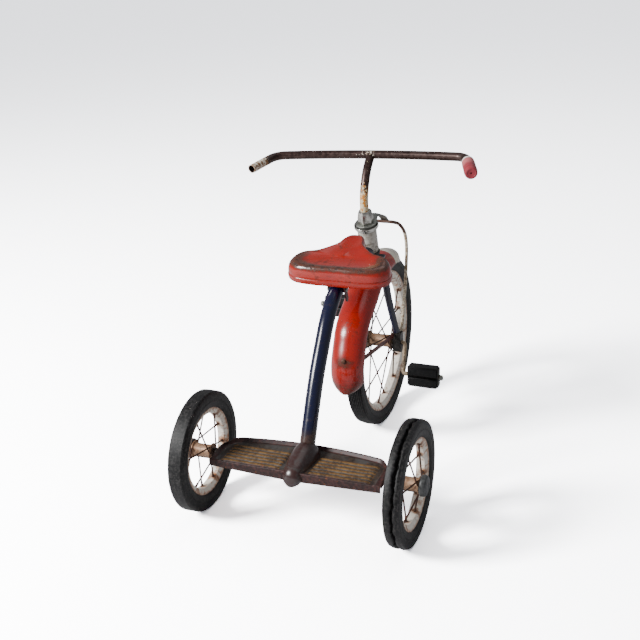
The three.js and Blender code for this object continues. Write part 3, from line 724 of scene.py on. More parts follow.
@dataclass(frozen=True)
class Grip:
    """Faded red plastic, darker and dirtier near the end, with a pale collar."""

    name: str = "grip_plastic"
    slot: str = "red_grip"

    def material(self) -> bpy.types.Material:
        """Builds the material."""
        s = Surface(self.name)
        fine, broad = s.cloud(5, 5, 0.6), s.cloud(18, 3)
        colour = s.mix(s.step(s.mask("end") + (broad - 0.5) * 0.5, 0.2, 0.8), rgba("c06a6a"), rgba("96303a"))
        colour = s.mix(s.step(fine, 0.58, 0.72) * 0.45, colour, rgba("5e2426"))
        colour = s.mix(s.step(s.mask("collar") + (fine - 0.5) * 0.3, 0.4, 0.6), colour, rgba("e6dbd4"))
        s.set(Base_Color=colour, Roughness=broad * 0.2 + 0.38, Normal=s.bump(fine, 0.12))
        return s.material


@dataclass(frozen=True)
class Floor:
    """Pale matt studio floor, seen brighter than the light it throws back on the tricycle."""

    name: str = "studio_floor"
    lift: float = 7.0

    def material(self) -> bpy.types.Material:
        """Builds the material."""
        s = Surface(self.name)
        seen = s.node("ShaderNodeBsdfDiffuse", {}, {"Color": (self.lift, self.lift, self.lift * 1.01, 1)})
        lit = s.node("ShaderNodeBsdfDiffuse", {}, {"Color": rgba("dadadc")})
        view = s.node("ShaderNodeLightPath", {}, {}, "Is Camera Ray")
        both = s.node("ShaderNodeMixShader", {}, {0: view, 1: lit, 2: seen})
        out = s.tree.nodes.get("Material Output")
        s.tree.links.new(both.socket, out.inputs["Surface"])
        return s.material


RED = Enamel(
    "red_enamel", "red_paint", "961304", "a92408", "571c10", chips=0.15, dirt=0.6, gloss=0.25, worn_mask="worn",
)
FENDER_RED = Enamel(
    "fender_enamel", "red_paint", "961105", "a5210c", "4d1a10", chips=0.3, dirt=0.5, gloss=0.26, worn_mask="worn",
    pale_mask="pale", pale="e2dccb",
)
NAVY = Enamel(
    "navy_enamel", "navy_paint", "030727", "0a1236", "241c1c", chips=0.1, dirt=0.25, gloss=0.24, coat=0.3,
    chip_size=4,
)
TUBE_NAVY = Enamel(
    "tube_enamel", "navy_paint", "030727", "0a1236", "33231e", chips=0.1, dirt=0.25, gloss=0.24, coat=0.3,
    worn_mask="worn", rust="3a2119", rubbed="4a3a33", chip_size=4,
)
WHITE = Enamel(
    "white_enamel", "white_paint", "efe7d8", "f8f4ec", "a8703f", chips=0.35, dirt=0.75, gloss=0.42, coat=0.1,
    worn_mask="worn", chip_size=7, rust="5a2f18", rubbed="8a5630",
)
BROWN = Enamel(
    "lug_enamel", "rusty_enamel", "2c1816", "3d221d", "3d3a39", chips=0.25, dirt=0.8, gloss=0.3, coat=0.3,
)
STEP = Step()
RUSTY = Metal("rusty_steel", "rusty_steel", "553525", "341d15", "1f110c", metallic=0.35, gloss=0.5)
HUB = Metal("hub_steel", "rusty_steel", "a98a70", "7d5a41", "50301d", metallic=0.4, gloss=0.5, stains=0.6)
MAROON = Metal("stay_paint", "rusty_steel", "6d3530", "4a211e", "24130f", metallic=0.15, gloss=0.42)
TAN = Metal(
    "rod_plate", "rusty_steel", "5d4438", "3c2a22", "20130f", metallic=0.45, gloss=0.4, stains=0.5,
    flake_mask="flake", flakes=("cfc3ae", "9a8468"),
)
CHROME = Metal(
    "old_chrome", "old_chrome", "4a3833", "2a1b18", "140c0b", metallic=0.6, gloss=0.34, stains=0.45,
    flake_mask="flake",
)
BAR_CHROME = Metal(
    "bar_chrome", "old_chrome", "4a3833", "2a1b18", "140c0b", metallic=0.6, gloss=0.34, stains=0.45,
    flake_mask="flake", flakes=("ddd4c2", "8a6440"),
)
NICKEL = Metal("bright_nickel", "bright_steel", "c9c7c1", "949189", "4b4239", metallic=0.95, gloss=0.2, stains=0.3)
ZINC = Metal("dull_zinc", "bright_steel", "8f918a", "696b66", "38352f", metallic=0.7, gloss=0.42, stains=0.4)
CAP = Metal("cap_zinc", "bright_steel", "595a5a", "3c3d3e", "1c1c1d", metallic=0.4, gloss=0.5, stains=0.5, size=5)
IRON = Metal("black_iron", "black_iron", "2f2b29", "1b1918", "3a241a", metallic=0.35, gloss=0.5)
TYRE = Rubber("tyre_rubber", "tyre_rubber", "080809", "3b3938", gloss=0.5, specks=0.9, dust_size=5)
TREAD = Rubber("pedal_rubber", "pedal_rubber", "09090a", "1c1b1b", gloss=0.45, specks=0.1, dust_size=8)
GRIP = Grip()
CREAM = Metal(
    "crank_cream", "white_paint", "b3a188", "8c745a", "3f2a1e", metallic=0.25, gloss=0.45, stains=0.55,
)
HEAD_WHITE = Enamel(
    "head_enamel", "white_paint", "c9c5ba", "e2dfd8", "6d6048", chips=0.25, dirt=1.0, gloss=0.35, coat=0.2,
    worn_mask="worn", chip_size=9,
)


class Wardrobe:
    """Makes each finish once and puts it on pieces."""

    def __init__(self) -> None:
        """Starts with no materials made."""
        self.made: dict[str, bpy.types.Material] = {}
        self.pieces: list[str] = []

    def coat(self, piece: bpy.types.Object, finish: object) -> bpy.types.Object:
        """Gives a piece one finish all over."""
        if finish.name not in self.made:
            self.made[finish.name] = finish.material()
        piece.data.materials.clear()
        piece.data.materials.append(self.made[finish.name])
        return piece

    def place(self, piece: bpy.types.Object, finish: object, body: str, *nodes: str) -> bpy.types.Object:
        """Coats a finished piece, lets it ride on a body and stands it for CAD nodes.

        Args:
            piece: The piece.
            finish: Its finish.
            body: The body that it rides on.
            *nodes: The CAD nodes that it replaces.

        Returns:
            The same piece.
        """
        self.coat(piece, finish)
        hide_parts(*nodes)
        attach(piece, body)
        self.pieces.append(piece.name)
        return piece

    def refine(self, name: str, node: str, bevel: float, finish: object, body: str) -> None:
        """Puts a coated copy of a CAD node, with rounded edges, in the node's stead."""
        self.place(refined(name, node, bevel), finish, body, node)


WARDROBE = Wardrobe()


# ------------------------------------------------------------------ wheels

@dataclass
class Wheel:
    """A solid-tyred wheel with a pressed rim, crossed wire spokes and a spool hub. Millimetres."""

    name: str
    body: str
    centre: Vector
    radius: float
    half_width: float
    rim_radius: float
    rim_half_width: float
    well_radius: float
    well_half_width: float
    spokes: int
    hub_half: float
    flange: float
    barrel: float
    bore: float
    twist: float
    first: float
    tread: Tread
    sheet: float = 1.6

    def tread_profile(self) -> list[tuple[float, float]]:
        """The running face from the right shoulder to the left, as radius and distance across."""
        r, w = self.radius, self.half_width
        if self.tread is Tread.RIBBED:
            points = []
            for i in range(-3, 4):
                x, top = -i * 4.3, r - 0.035 * (i * 2.1) ** 2
                points += [
                    (top - 2.6, x + 2.15), (top - 0.5, x + 1.45), (top, x + 0.8), (top, x - 0.8),
                    (top - 0.5, x - 1.45),
                ]
            return [*points, (points[-1][0] - 1.5, -15.1)]
        if self.tread is Tread.SPLIT:
            return [
                (r - 1.6, w * 0.78), (r - 1.4, w * 0.7), (r - 0.4, w * 0.62), (r, w * 0.5), (r, w * 0.36),
                (r - 0.6, w * 0.29), (r - 2.4, w * 0.25), (r - 10, w * 0.19), (r - 10, w * 0.1), (r - 2.4, w * 0.02),
                (r - 0.6, -w * 0.02), (r, -w * 0.09), (r, -w * 0.35), (r - 0.3, -w * 0.6), (r - 1.6, -w * 0.78),
            ]
        return [
            (r - 1.1, w * 0.88), (r - 1.5, w * 0.84), (r - 0.3, w * 0.79), (r, w * 0.5), (r, 0), (r, -w * 0.5),
            (r - 0.3, -w * 0.79), (r - 1.5, -w * 0.84), (r - 1.1, -w * 0.88),
        ]

    def side_profile(self) -> list[tuple[float, float]]:
        """One side of the tyre from the bead in the rim out to the shoulder."""
        gap, inner = 0.3, self.sheet + 0.3
        rim, w, r = self.rim_radius, self.half_width, self.radius
        mid = lerp(rim, r, 0.47)
        return [
            (self.well_radius + gap, self.well_half_width - inner), (rim + gap, self.rim_half_width - inner),
            (rim + 0.7, self.rim_half_width + 0.2), (rim + 2.2, self.rim_half_width + 1.3),
            (lerp(rim, r, 0.25), w * 0.97), (mid - 1.1, w * 1.0), (mid - 0.7, w * 0.965), (mid + 0.3, w * 0.965),
            (mid + 0.7, w * 1.01), (lerp(rim, r, 0.66), w * 1.02), (r - 8.5, w * 1.015), (r - 4.6, w * 0.99),
            (r - 2.2, w * 0.935),
        ]

    def make_tyre(self) -> None:
        """Spins the tyre and roughens it a little."""
        side = self.side_profile()
        ragged = self.tread is Tread.SPLIT
        tyre = spun(
            f"{self.name}_rubber", [*side, *self.tread_profile(), *mirrored(side)], self.centre,
            steps=240 if ragged else 112, smooth=50,
        )
        ruffled(tyre, 0.35, 25)
        if ragged:
            self.rag(tyre)
        WARDROBE.place(tyre, TYRE, self.body, f"{self.name}_tyre")

    def rag(self, tyre: bpy.types.Object) -> None:
        """Makes the split in the tread wander and its lips uneven."""
        for vertex in tyre.data.vertices:
            out = vertex.co - self.centre
            reach = math.hypot(out.y, out.z)
            if reach < (self.radius - 11) * MM:
                continue
            turn = Vector((out.y, out.z, 0)).normalized()
            across = out.x / MM - self.half_width * 0.145
            near = math.exp(-(across / 4.2) ** 2)
            wander = noise.noise(turn * 2.2) * 4.4 + noise.noise(turn * 9 + Vector((0, 0, 4))) * 3.4
            open_up = 0.6 + 1.3 * noise.noise(turn * 5.1 + Vector((7, 0, 0)))
            torn = noise.noise(vertex.co * 160) * 3.4
            vertex.co.x += (wander + across * open_up + torn) * near * MM
        tyre.data.update()

    def make_rim(self) -> None:
        """Spins the rim's pressed sheet, with a rolled edge on each side."""
        rim, edge, well, half = self.rim_radius, self.rim_half_width, self.well_radius, self.well_half_width
        right = [
            (well, half - self.sheet), (rim - 0.8, edge - self.sheet), (rim + 0.5, edge - 0.9),
            (rim + 0.4, edge + 0.3), (rim - 1.0, edge + 0.5), (well + 1.2, half + 0.9), (well - 1.5, half - 0.6),
        ]
        section = rounded([*right, *mirrored(right)], 1.2, 2)
        rim_piece = spun(f"{self.name}_rim_sheet", section, self.centre, steps=112, smooth=50)
        holes = [self.first + i / self.spokes * 2 * math.pi for i in range(self.spokes)]

        def rust(point: Vector) -> float:
            """More near each nipple, at the seam and along the edges."""
            out = (point - self.centre) / MM
            reach, angle = math.hypot(out.y, out.z), math.atan2(out.y, out.z)
            spots = [
                math.hypot(math.remainder(angle - hole, 2 * math.pi) * reach, out.x - (2.5 if i % 2 else -2.5))
                for i, hole in enumerate(holes)
            ]
            near = fade(min(spots), 15, 3.0) * 0.95
            seam = fade(abs(math.remainder(angle - holes[1] - 0.2, 2 * math.pi)) * reach, 4, 0.6) * 0.85
            rolled = fade(abs(out.x), edge - 3.5, edge) * 0.6
            return max(near, seam, rolled)

        painted_mask(rim_piece, "worn", rust)
        WARDROBE.place(rim_piece, WHITE, self.body, f"{self.name}_rim")

    def make_spokes(self) -> None:
        """Makes one spoke of each of the four kinds, and copies them round the wheel."""
        made = []
        for kind in range(4):
            side, lean = (1 if kind % 2 else -1), (1 if kind < 2 else -1)
            rim_angle = self.first + kind / self.spokes * 2 * math.pi
            hub_angle = rim_angle + lean * math.radians(self.twist)

            def on(x: float, radius: float, angle: float) -> Vector:
                """A point of the wheel."""
                return self.centre + Vector((x, radius * math.sin(angle), radius * math.cos(angle))) * MM

            root = on(side * (self.hub_half - 1.5), self.flange - 2.5, hub_angle)
            tip = on(side * 2.5, self.well_radius - self.sheet + 0.3, rim_angle)
            way, out = (tip - root).normalized(), Vector((side, 0, 0))
            head = root + out * 3.4 * MM
            line = [head, head - out * 0.9 * MM, head - out * 1.0 * MM, root + way * 3.2 * MM]
            line += [tip - way * d * MM for d in (10.6, 10.2, 9.2, 2.0, 1.4, 0)]
            radii = [2.1, 2.8, 1.75, 1.75, 1.75, 2.0, 2.3, 2.6, 3.3, 3.6]
            wire = pipe(f"{self.name}_spoke_{kind}", line, radii, 8)
            made.append(wire)
            for again in range(1, self.spokes // 4):
                turn = turned_about(self.centre, -again * 8 * math.pi / self.spokes)
                made.append(copied(wire, f"{wire.name}_{again}", turn))
        WARDROBE.place(joined(f"{self.name}_spokes", made), RUSTY, self.body)

    def make_hub(self) -> None:
        """Spins the hub's spool with its two flanges."""
        half, flange, barrel, bore = self.hub_half, self.flange, self.barrel, self.bore
        left = [
            (bore, -half), (flange - 0.8, -half), (flange, 0.9 - half), (flange, 2.1 - half),
            (flange - 0.8, 3 - half), (barrel + 2, 3.2 - half), (barrel + 0.4, 4.6 - half), (barrel - 0.3, 8 - half),
        ]
        profile = [*left, (barrel - 0.7, 0), *mirrored(left)]
        hub = spun(f"{self.name}_hub", profile, self.centre, steps=56)
        WARDROBE.place(hub, HUB, self.body, f"{self.name}_hub_and_spokes")

    def build(self) -> None:
        """Makes the whole wheel."""
        self.make_tyre()
        self.make_rim()
        self.make_spokes()
        self.make_hub()
        LOG.info("%s: tyre, rim, %d spokes and hub", self.name, self.spokes)


@dataclass
class RearWheel(Wheel):
    """A rear wheel, which also has a bush and a dished hub cap on its outer side."""

    side: int = 1

    def build(self) -> None:
        """Makes the wheel with its bush and cap."""
        super().build()
        name, side, start = self.name, self.side, self.hub_half + 0.8
        section = rounded(ring(5.9, 8.6, -side * (self.hub_half + 3), side * self.hub_half), 0.4, 2)
        bush = spun(f"{name}_bushing", section, self.centre, steps=36)
        WARDROBE.place(bush, IRON, self.body, f"{name}_bush")
        cap = [
            (0, 8), (8, 8), (8.4, 7.6), (8.4, 0.4), (8.8, 0), (18.4, 0), (20, 0.6), (21.3, 2.2), (21.6, 3.6),
            (21.4, 6), (20.8, 9.4), (20, 11), (18.6, 12.2), (15.5, 13.1), (12, 13.7), (8, 13.9), (6.5, 13.4), (0, 13.2),
        ]
        piece = spun(f"{name}_cap", [(r, side * (start + x)) for r, x in cap], self.centre, steps=64, closed=False)
        ruffled(piece, 0.25, 9)
        WARDROBE.place(piece, CAP, self.body, f"{name}_hub_cap")


# ------------------------------------------------------------------ crank and pedals

@dataclass
class Crank:
    """The axle bent into two cranks, with a pedal and an end nut on each pin. Millimetres."""

    radius: float = 5
    arm: float = 73
    arm_x: float = 61
    kick: float = 3
    pin_x: float = 159
    angle: float = math.radians(21)
    left_slide: float = 4.4
    block_depth: float = 28
    block_height: float = 24
    block_rise: float = 14
    block_from: float = 80.3
    block_to: float = 148.7

    def pin(self, side: int) -> Vector:
        """The middle line of a pedal's pin, where it meets the tricycle's middle plane."""
        way = Vector((0, -math.sin(self.angle), -math.cos(self.angle)))
        return FRONT_AXLE + way * side * self.arm * MM

    def make_crank(self) -> None:
        """Bends the axle."""
        def at(x: float, middle: Vector) -> Vector:
            """A point that far to the right of a point of the middle plane."""
            return middle + Vector((x * MM, 0, 0))

        corners = [
            at(-self.pin_x, self.pin(-1)), at(-self.arm_x - self.kick, self.pin(-1)), at(-self.arm_x, FRONT_AXLE),
            at(self.arm_x, FRONT_AXLE), at(self.arm_x + self.kick, self.pin(1)), at(self.pin_x, self.pin(1)),
        ]
        crank = pipe("crank", bent(corners, 8 * MM), [self.radius], 24)
        WARDROBE.place(crank, CREAM, "front_wheel", "crank_axle")

    def block(self, name: str, middle: Vector, level: int, side: int) -> bpy.types.Object:
        """A rubber tread block with rounded ends.

        Args:
            name: The piece's name.
            middle: The middle of the pedal.
            level: 1 above the pin and -1 below it.
            side: 1 on the right and -1 on the left.

        Returns:
            The piece.
        """
        half, up = self.block_depth / 2, self.block_height / 2
        corners = rounded([(-half, -up), (half, -up), (half, up), (-half, up)], 5, 6)
        outline = []
        for p, q in zip(corners, [*corners[1:], corners[0]]):
            pieces = max(1, round(math.dist(p, q) / 1.5))
            outline += [(lerp(p[0], q[0], k / pieces), lerp(p[1], q[1], k / pieces)) for k in range(pieces)]
        count, ends = len(outline), [(0, 0.0), (0, 0.7), (0.25, 0.93), (1.2, 1.0)]
        stations = [(x, s) for x, s in ends] + [(8 * k, 1.0) for k in range(1, 8)]
        stations += [(self.block_to - self.block_from - x, s) for x, s in reversed(ends)]

        def place(u: float, v: float) -> Vector:
            """A point of the block's skin."""
            x, scale = stations[round(v * (len(stations) - 1))]
            y, z = outline[round(u * count) % count]
            spot = Vector((side * (self.block_from + x), y * scale, z * scale + level * self.block_rise))
            return middle + spot * MM

        return sheet(name, place, count, len(stations) - 1, smooth=38)

    def make_pedal(self, name: str, side: int) -> None:
        """Makes a pedal and its end nut."""
        slide = Vector((self.left_slide * MM, 0, 0)) if side < 0 else Vector()
        middle, body = self.pin(side) + slide, f"{name}_pedal"
        for word, level in (("upper", 1), ("lower", -1)):
            block = self.block(f"{name}_{word}_tread", middle, level, side)
            ruffled(block, 0.3, 14)
            WARDROBE.place(block, TREAD, body, f"{name}_pedal_{word}_block")
        for word in ("inner", "outer"):
            node = f"{name}_pedal_{word}_plate"
            WARDROBE.refine(f"{name}_{word}_end_plate", node, 0.7, IRON, body)
        sleeve = rounded(ring(5.4, 7, side * 76, side * 152), 0.5, 2)
        piece = spun(f"{name}_pin_sleeve", sleeve, middle, steps=32)
        WARDROBE.place(piece, IRON, body, f"{name}_pedal_sleeve")
        nut = [
            (5.3, 153), (6.5, 153), (6.8, 153.5), (6.8, 157.2), (6.3, 158.4), (6, 159.2), (5.2, 160.9),
            (3, 161.8), (0, 162),
        ]
        profile = [(radius, side * x) for radius, x in nut]
        piece = spun(f"{name}_end_nut", profile, self.pin(side), steps=32, closed=False)
        WARDROBE.place(piece, ZINC, "front_wheel", f"{name}_pedal_nut")

    def build(self) -> None:
        """Makes the crank with both pedals."""
        self.make_crank()
        for name, side in SIDES:
            self.make_pedal(name, side)
        LOG.info("crank and pedals")


# ------------------------------------------------------------------ rear step, axle and frame

@dataclass
class RearStep:
    """The pressed step plate, its domed lug and the brackets that hold the axle. Millimetres."""

    half_width: float = 182
    rear: float = -57
    front: float = 38
    bow: float = 17
    corner: float = 34
    corner_depth: float = 58
    top: float = 140
    lip: float = 147
    flange: float = 122
    drop: float = 9
    sheet: float = 2.4
    ridges: int = 6
    first_ridge: float = 14
    pitch: float = 12
    ridge_half: float = 5.2
    ridge_height: float = 3.1

    def front_edge(self, x: float) -> float:
        """How far forward the step reaches at that distance from the middle."""
        bowed = self.front + self.bow * (1 - (x / (self.half_width - 18)) ** 2)
        inside = max(abs(x) - (self.half_width - self.corner), 0) / self.corner
        return bowed - self.corner_depth * (1 - math.sqrt(max(1 - inside ** 2, 0)))

    def height(self, x: float, y: float) -> float:
        """The pressed surface over a point of the plan."""
        edge = self.front_edge(x)
        rim = min(edge - y, self.half_width - abs(x))
        rise = fade(rim, 9.5, 2.6) * (self.lip - self.top) * fade(y, self.rear + 4, self.rear + 60)
        back = fade(y - self.rear, 4.5, 1.5) * 2.2
        ridge, ends = 0.0, fade(abs(x), 30, 36) * fade(abs(x), 158, 152)
        for i in range(self.ridges):
            off = (y - self.first_ridge + self.pitch * i) / self.ridge_half
            if abs(off) < 1:
                ridge = max(ridge, max(0, math.cos(off * math.pi / 2)) ** 0.8 * self.ridge_height * ends)
        land = fade(y, 18, edge - 8) * 1.5
        return self.top + max(rise, back) + ridge + land

    def make_tray(self) -> None:
        """Shapes the tray: turned-down edges, raised rim and rounded ridges."""
        across, along = 150, 132
        xs = [self.half_width * math.copysign(1 - (1 - abs(t)) ** 1.25, t) for t in
              [(i / across) * 2 - 1 for i in range(across + 1)]]
        rear_rows = [(0, self.flange - self.top + 0.5), (0, -9), (0, -2.2), (0.35, -0.9), (1.0, -0.2), (2.0, 0)]

        def place(u: float, v: float) -> Vector:
            """A point of the tray's sheet."""
            column, row = round(u * across), round(v * along)
            x = xs[column]
            edge = self.front_edge(x)
            outer = column in (0, across)
            if row < len(rear_rows):
                y, rise = self.rear + rear_rows[row][0], rear_rows[row][1]
                taper = 1.04 - 0.36 * abs(x) / self.half_width
                z = min(self.height(x, y) + rise, self.lip) if row > 2 else self.top + rise * taper
            elif row > along - 3:
                y = edge - (0.0 if row > along - 2 else 0.5)
                z = self.lip - (self.drop if row == along else 1.6 if row == along - 1 else 0.5)
            else:
                share = (row - len(rear_rows) + 1) / (along - 3 - len(rear_rows) + 1)
                y = lerp(self.rear + 2.0, edge - 1.4, share)
                z = self.height(x, y)
            if outer and row > 2:
                z = min(z, self.lip) - self.drop * fade(y, self.rear - 1, self.rear + 12)
            return mm(x, y, z)

        def crest(u: float, v: float) -> float:
            """How much a point is on top of a ridge."""
            spot = place(u, v)
            x, y = spot.x / MM, (spot.y - REAR_AXLE.y) / MM
            if abs(x) < 31 or abs(x) > 158 or not -52 < y < 20:
                return 0.0
            # Ridge tops take the ochre: rubbed paint there, and also painted highlight on the tops with painted shade
            # in the grooves.
            return fade(math.cos((y - self.first_ridge) / self.pitch * 2 * math.pi), -0.85, 0.1)

        def rim(u: float, v: float) -> float:
            """How much a point is on the raised rim or the rear lip."""
            spot = place(u, v)
            x, y = spot.x / MM, (spot.y - REAR_AXLE.y) / MM
            near = min(self.front_edge(x) - y, self.half_width - abs(x), (y - self.rear) * 1.5)
            return fade(near, 15, 7)

        tray = sheet("step_tray", place, across, along, self.sheet, 45, masks={"crest": crest, "edge": rim})
        WARDROBE.place(tray, STEP, "frame", "rear_step")

    def make_lug(self) -> None:
        """Shapes the lug's dome over the step and its rear edge."""
        stations = [
            (-69, 3, 3), (-68.6, 8, 8), (-67, 13, 12.5), (-64, 16.5, 17), (-60, 19.3, 21), (-50, 23, 27),
            (-40, 24.8, 30.5), (-24, 27.2, 35.5), (-8, 29, 40), (4, 29.8, 43), (14, 30, 44), (24, 29.4, 42.6),
            (32, 28, 40), (39, 24.5, 35), (44, 20, 28), (47, 13, 20), (48, 8, 14),
        ]
        line = spline([Vector(s) for s in stations], 2)

        def place(u: float, v: float) -> Vector:
            """A point of the dome's skin."""
            y, half, rise = line[round(v * (len(line) - 1))]
            scale = 0.0 if round(v * (len(line) - 1)) in (0, len(line) - 1) else 1.0
            angle = u * 2 * math.pi
            lift = math.sin(angle)
            width = half * math.cos(angle) * (1.0 if lift > 0 else 0.97)
            up = rise if lift > 0 else min(rise, 11 if y > self.rear else 15)
            flare = 1 + 0.16 * fade(lift, 0.32, 0.0) * (y > self.rear + 3)
            return mm(width * scale * flare, y, 128 + lift * up * scale)

        lug = sheet("step_dome", place, 40, len(line) - 1, smooth=60)
        ruffled(lug, 0.5, 22)
        WARDROBE.place(lug, BROWN, "frame", "step_lug")

    def make_axle(self) -> None:
        """Makes the axle, its brackets and its spacers."""
        end = 252
        profile = [(0, -end), (4.9, -end), (5.5, 0.8 - end), (5.5, end - 0.8), (4.9, end), (0, end)]
        axle = spun("axle_rod", profile, REAR_AXLE, steps=32, closed=False)
        WARDROBE.place(axle, RUSTY, "frame", "rear_axle")
        for name, side in SIDES:
            section = rounded(ring(5.8, 8.5, side * 177, side * 196), 0.6, 2)
            spacer = spun(f"{name}_spacer", section, REAR_AXLE, steps=36)
            WARDROBE.place(spacer, IRON, "frame", f"{name}_axle_spacer")
            WARDROBE.refine(f"{name}_hanger", f"{name}_axle_bracket", 0.7, BROWN, "frame")

    def build(self) -> None:
        """Makes the step, the lug and the axle."""
        self.make_tray()
        self.make_lug()
        self.make_axle()
        LOG.info("rear step, lug and axle")


@dataclass
class FrameTube:
    """The single bent tube from the step up to the head. Millimetres."""

    radius: float = 15.9
    worn_below: float = 208
    bare_below: float = 176
    line: tuple = (
        (22, 149), (44, 194), (69, 245), (96, 294), (128, 340), (165, 388), (214, 425), (284, 443), (350, 449),
        (415, 450),
    )

    def build(self) -> None:
        """Bends the tube."""
        tube = pipe("main_tube", spline([mm(0, y, z) for y, z in self.line], 6), [self.radius], 48)
        painted_mask(tube, "worn", lambda point: 0.75 * fade(point.z / MM, self.worn_below, self.bare_below))
        WARDROBE.place(tube, TUBE_NAVY, "frame", "frame_tube")
        LOG.info("frame tube")


# ------------------------------------------------------------------ seat

@dataclass
class Seat:
    """The pressed seat with its bracket and bolt. Millimetres."""

    wall: float = 1.6
    skirt: float = 40
    nose_lift: float = 14
    middle: float = 70
    around: int = 112
    plan: tuple = (
        (0, 0), (0, 55), (7, 92), (25, 111), (50, 112), (70, 101), (83, 70), (107, 45), (126, 30), (150, 23),
        (166, 14), (170, 0),
    )
    rings: tuple = (
        (0.996, 0), (1.0, 1.2), (1.003, 5), (1.005, 9), (1.002, 10.6), (0.989, 11.3), (0.986, 12.3), (0.992, 13.6),
        (0.991, 17), (0.985, 23), (0.974, 28), (0.955, 32.6), (0.93, 36), (0.9, 38.6), (0.87, 39.8), (0.84, 40),
        (0.8, 39.6), (0.74, 38.7), (0.62, 37.3), (0.48, 36), (0.3, 35), (0.14, 34.5), (0, 34.4),
    )

    def outline(self) -> list[Vector]:
        """Points evenly spaced round the plan."""
        half = [Vector((x, y, 0)) for y, x in self.plan]
        loop = spline([*half, *[Vector((-x, y, 0)) for y, x in self.plan[-2:0:-1]], half[0]], 24)
        lengths = [0.0]
        for a, b in zip(loop, loop[1:]):
            lengths.append(lengths[-1] + (b - a).length)
        found, at = [], 0
        for i in range(self.around):
            wanted = lengths[-1] * i / self.around
            while lengths[at + 1] < wanted:
                at += 1
            found.append(loop[at].lerp(loop[at + 1], (wanted - lengths[at]) / (lengths[at + 1] - lengths[at])))
        return found

    def make_pan(self) -> None:
        """Shapes the pan: rolled hem, pressed line, crest and dished top."""
        outline, rings = self.outline(), self.rings
        stand = Matrix.Translation(mm(0.9, 201.4, 440.4))
        stand = stand @ Matrix.Rotation(math.radians(11.1), 4, "X") @ Matrix.Rotation(math.radians(0.6), 4, "Z")

        def spot(u: float, v: float) -> tuple[Vector, Vector, float, float]:
            """The plan point, the placed point, the ring's scale and its height."""
            base = outline[round(u * self.around) % self.around]
            scale, height = rings[round(v * (len(rings) - 1))]
            lift = (1 - height / self.skirt) * self.nose_lift * fade(base.y, 70, 160)
            dish = -1.5 * fade(scale, 0.8, 0.45) * fade(base.y, 110, 40)
            point = Vector((base.x * scale, self.middle + (base.y - self.middle) * scale, height + lift + dish))
            return base, point, scale, height

        def place(u: float, v: float) -> Vector:
            """The point of the pan in the tricycle."""
            return stand @ (spot(u, v)[1] * MM)

        def worn(u: float, v: float) -> float:
            """Worn most along the rear crest, less on the flanks, the hem and the top."""
            base, _, scale, height = spot(u, v)
            crest = fade(height, 26, 37.5) * fade(scale, 0.58, 0.8)
            rear = 0.3 + 0.62 * fade(base.y, 105, 50)
            hem = fade(height, 2.5, 0) * 0.45 if scale > 0.95 else 0
            band = 0.26 * fade(height, 11.6, 10) if scale > 0.95 else 0
            line = 0.34 * fade(abs(height - 11.8), 1.6, 0.4) if scale > 0.95 else 0
            top = 0.2 * fade(scale, 0.8, 0.6)
            return max(crest * rear, hem, band, line, top)

        pan = sheet("seat_shell", place, self.around, len(rings) - 1, self.wall, 45, masks={"worn": worn})
        WARDROBE.place(pan, RED, "frame", "seat_pan")

    def build(self) -> None:
        """Makes the pan, the bracket and the bolt."""
        self.make_pan()
        for name, node, finish in (
            ("seat_strap", "seat_bracket", MAROON), ("seat_strap_bolt", "seat_bolt", ZINC),
            ("seat_strap_nut", "seat_nut", ZINC),
        ):
            WARDROBE.refine(name, node, 0.5, finish, "frame")
        LOG.info("seat")


# ------------------------------------------------------------------ head, fork, truss and fender

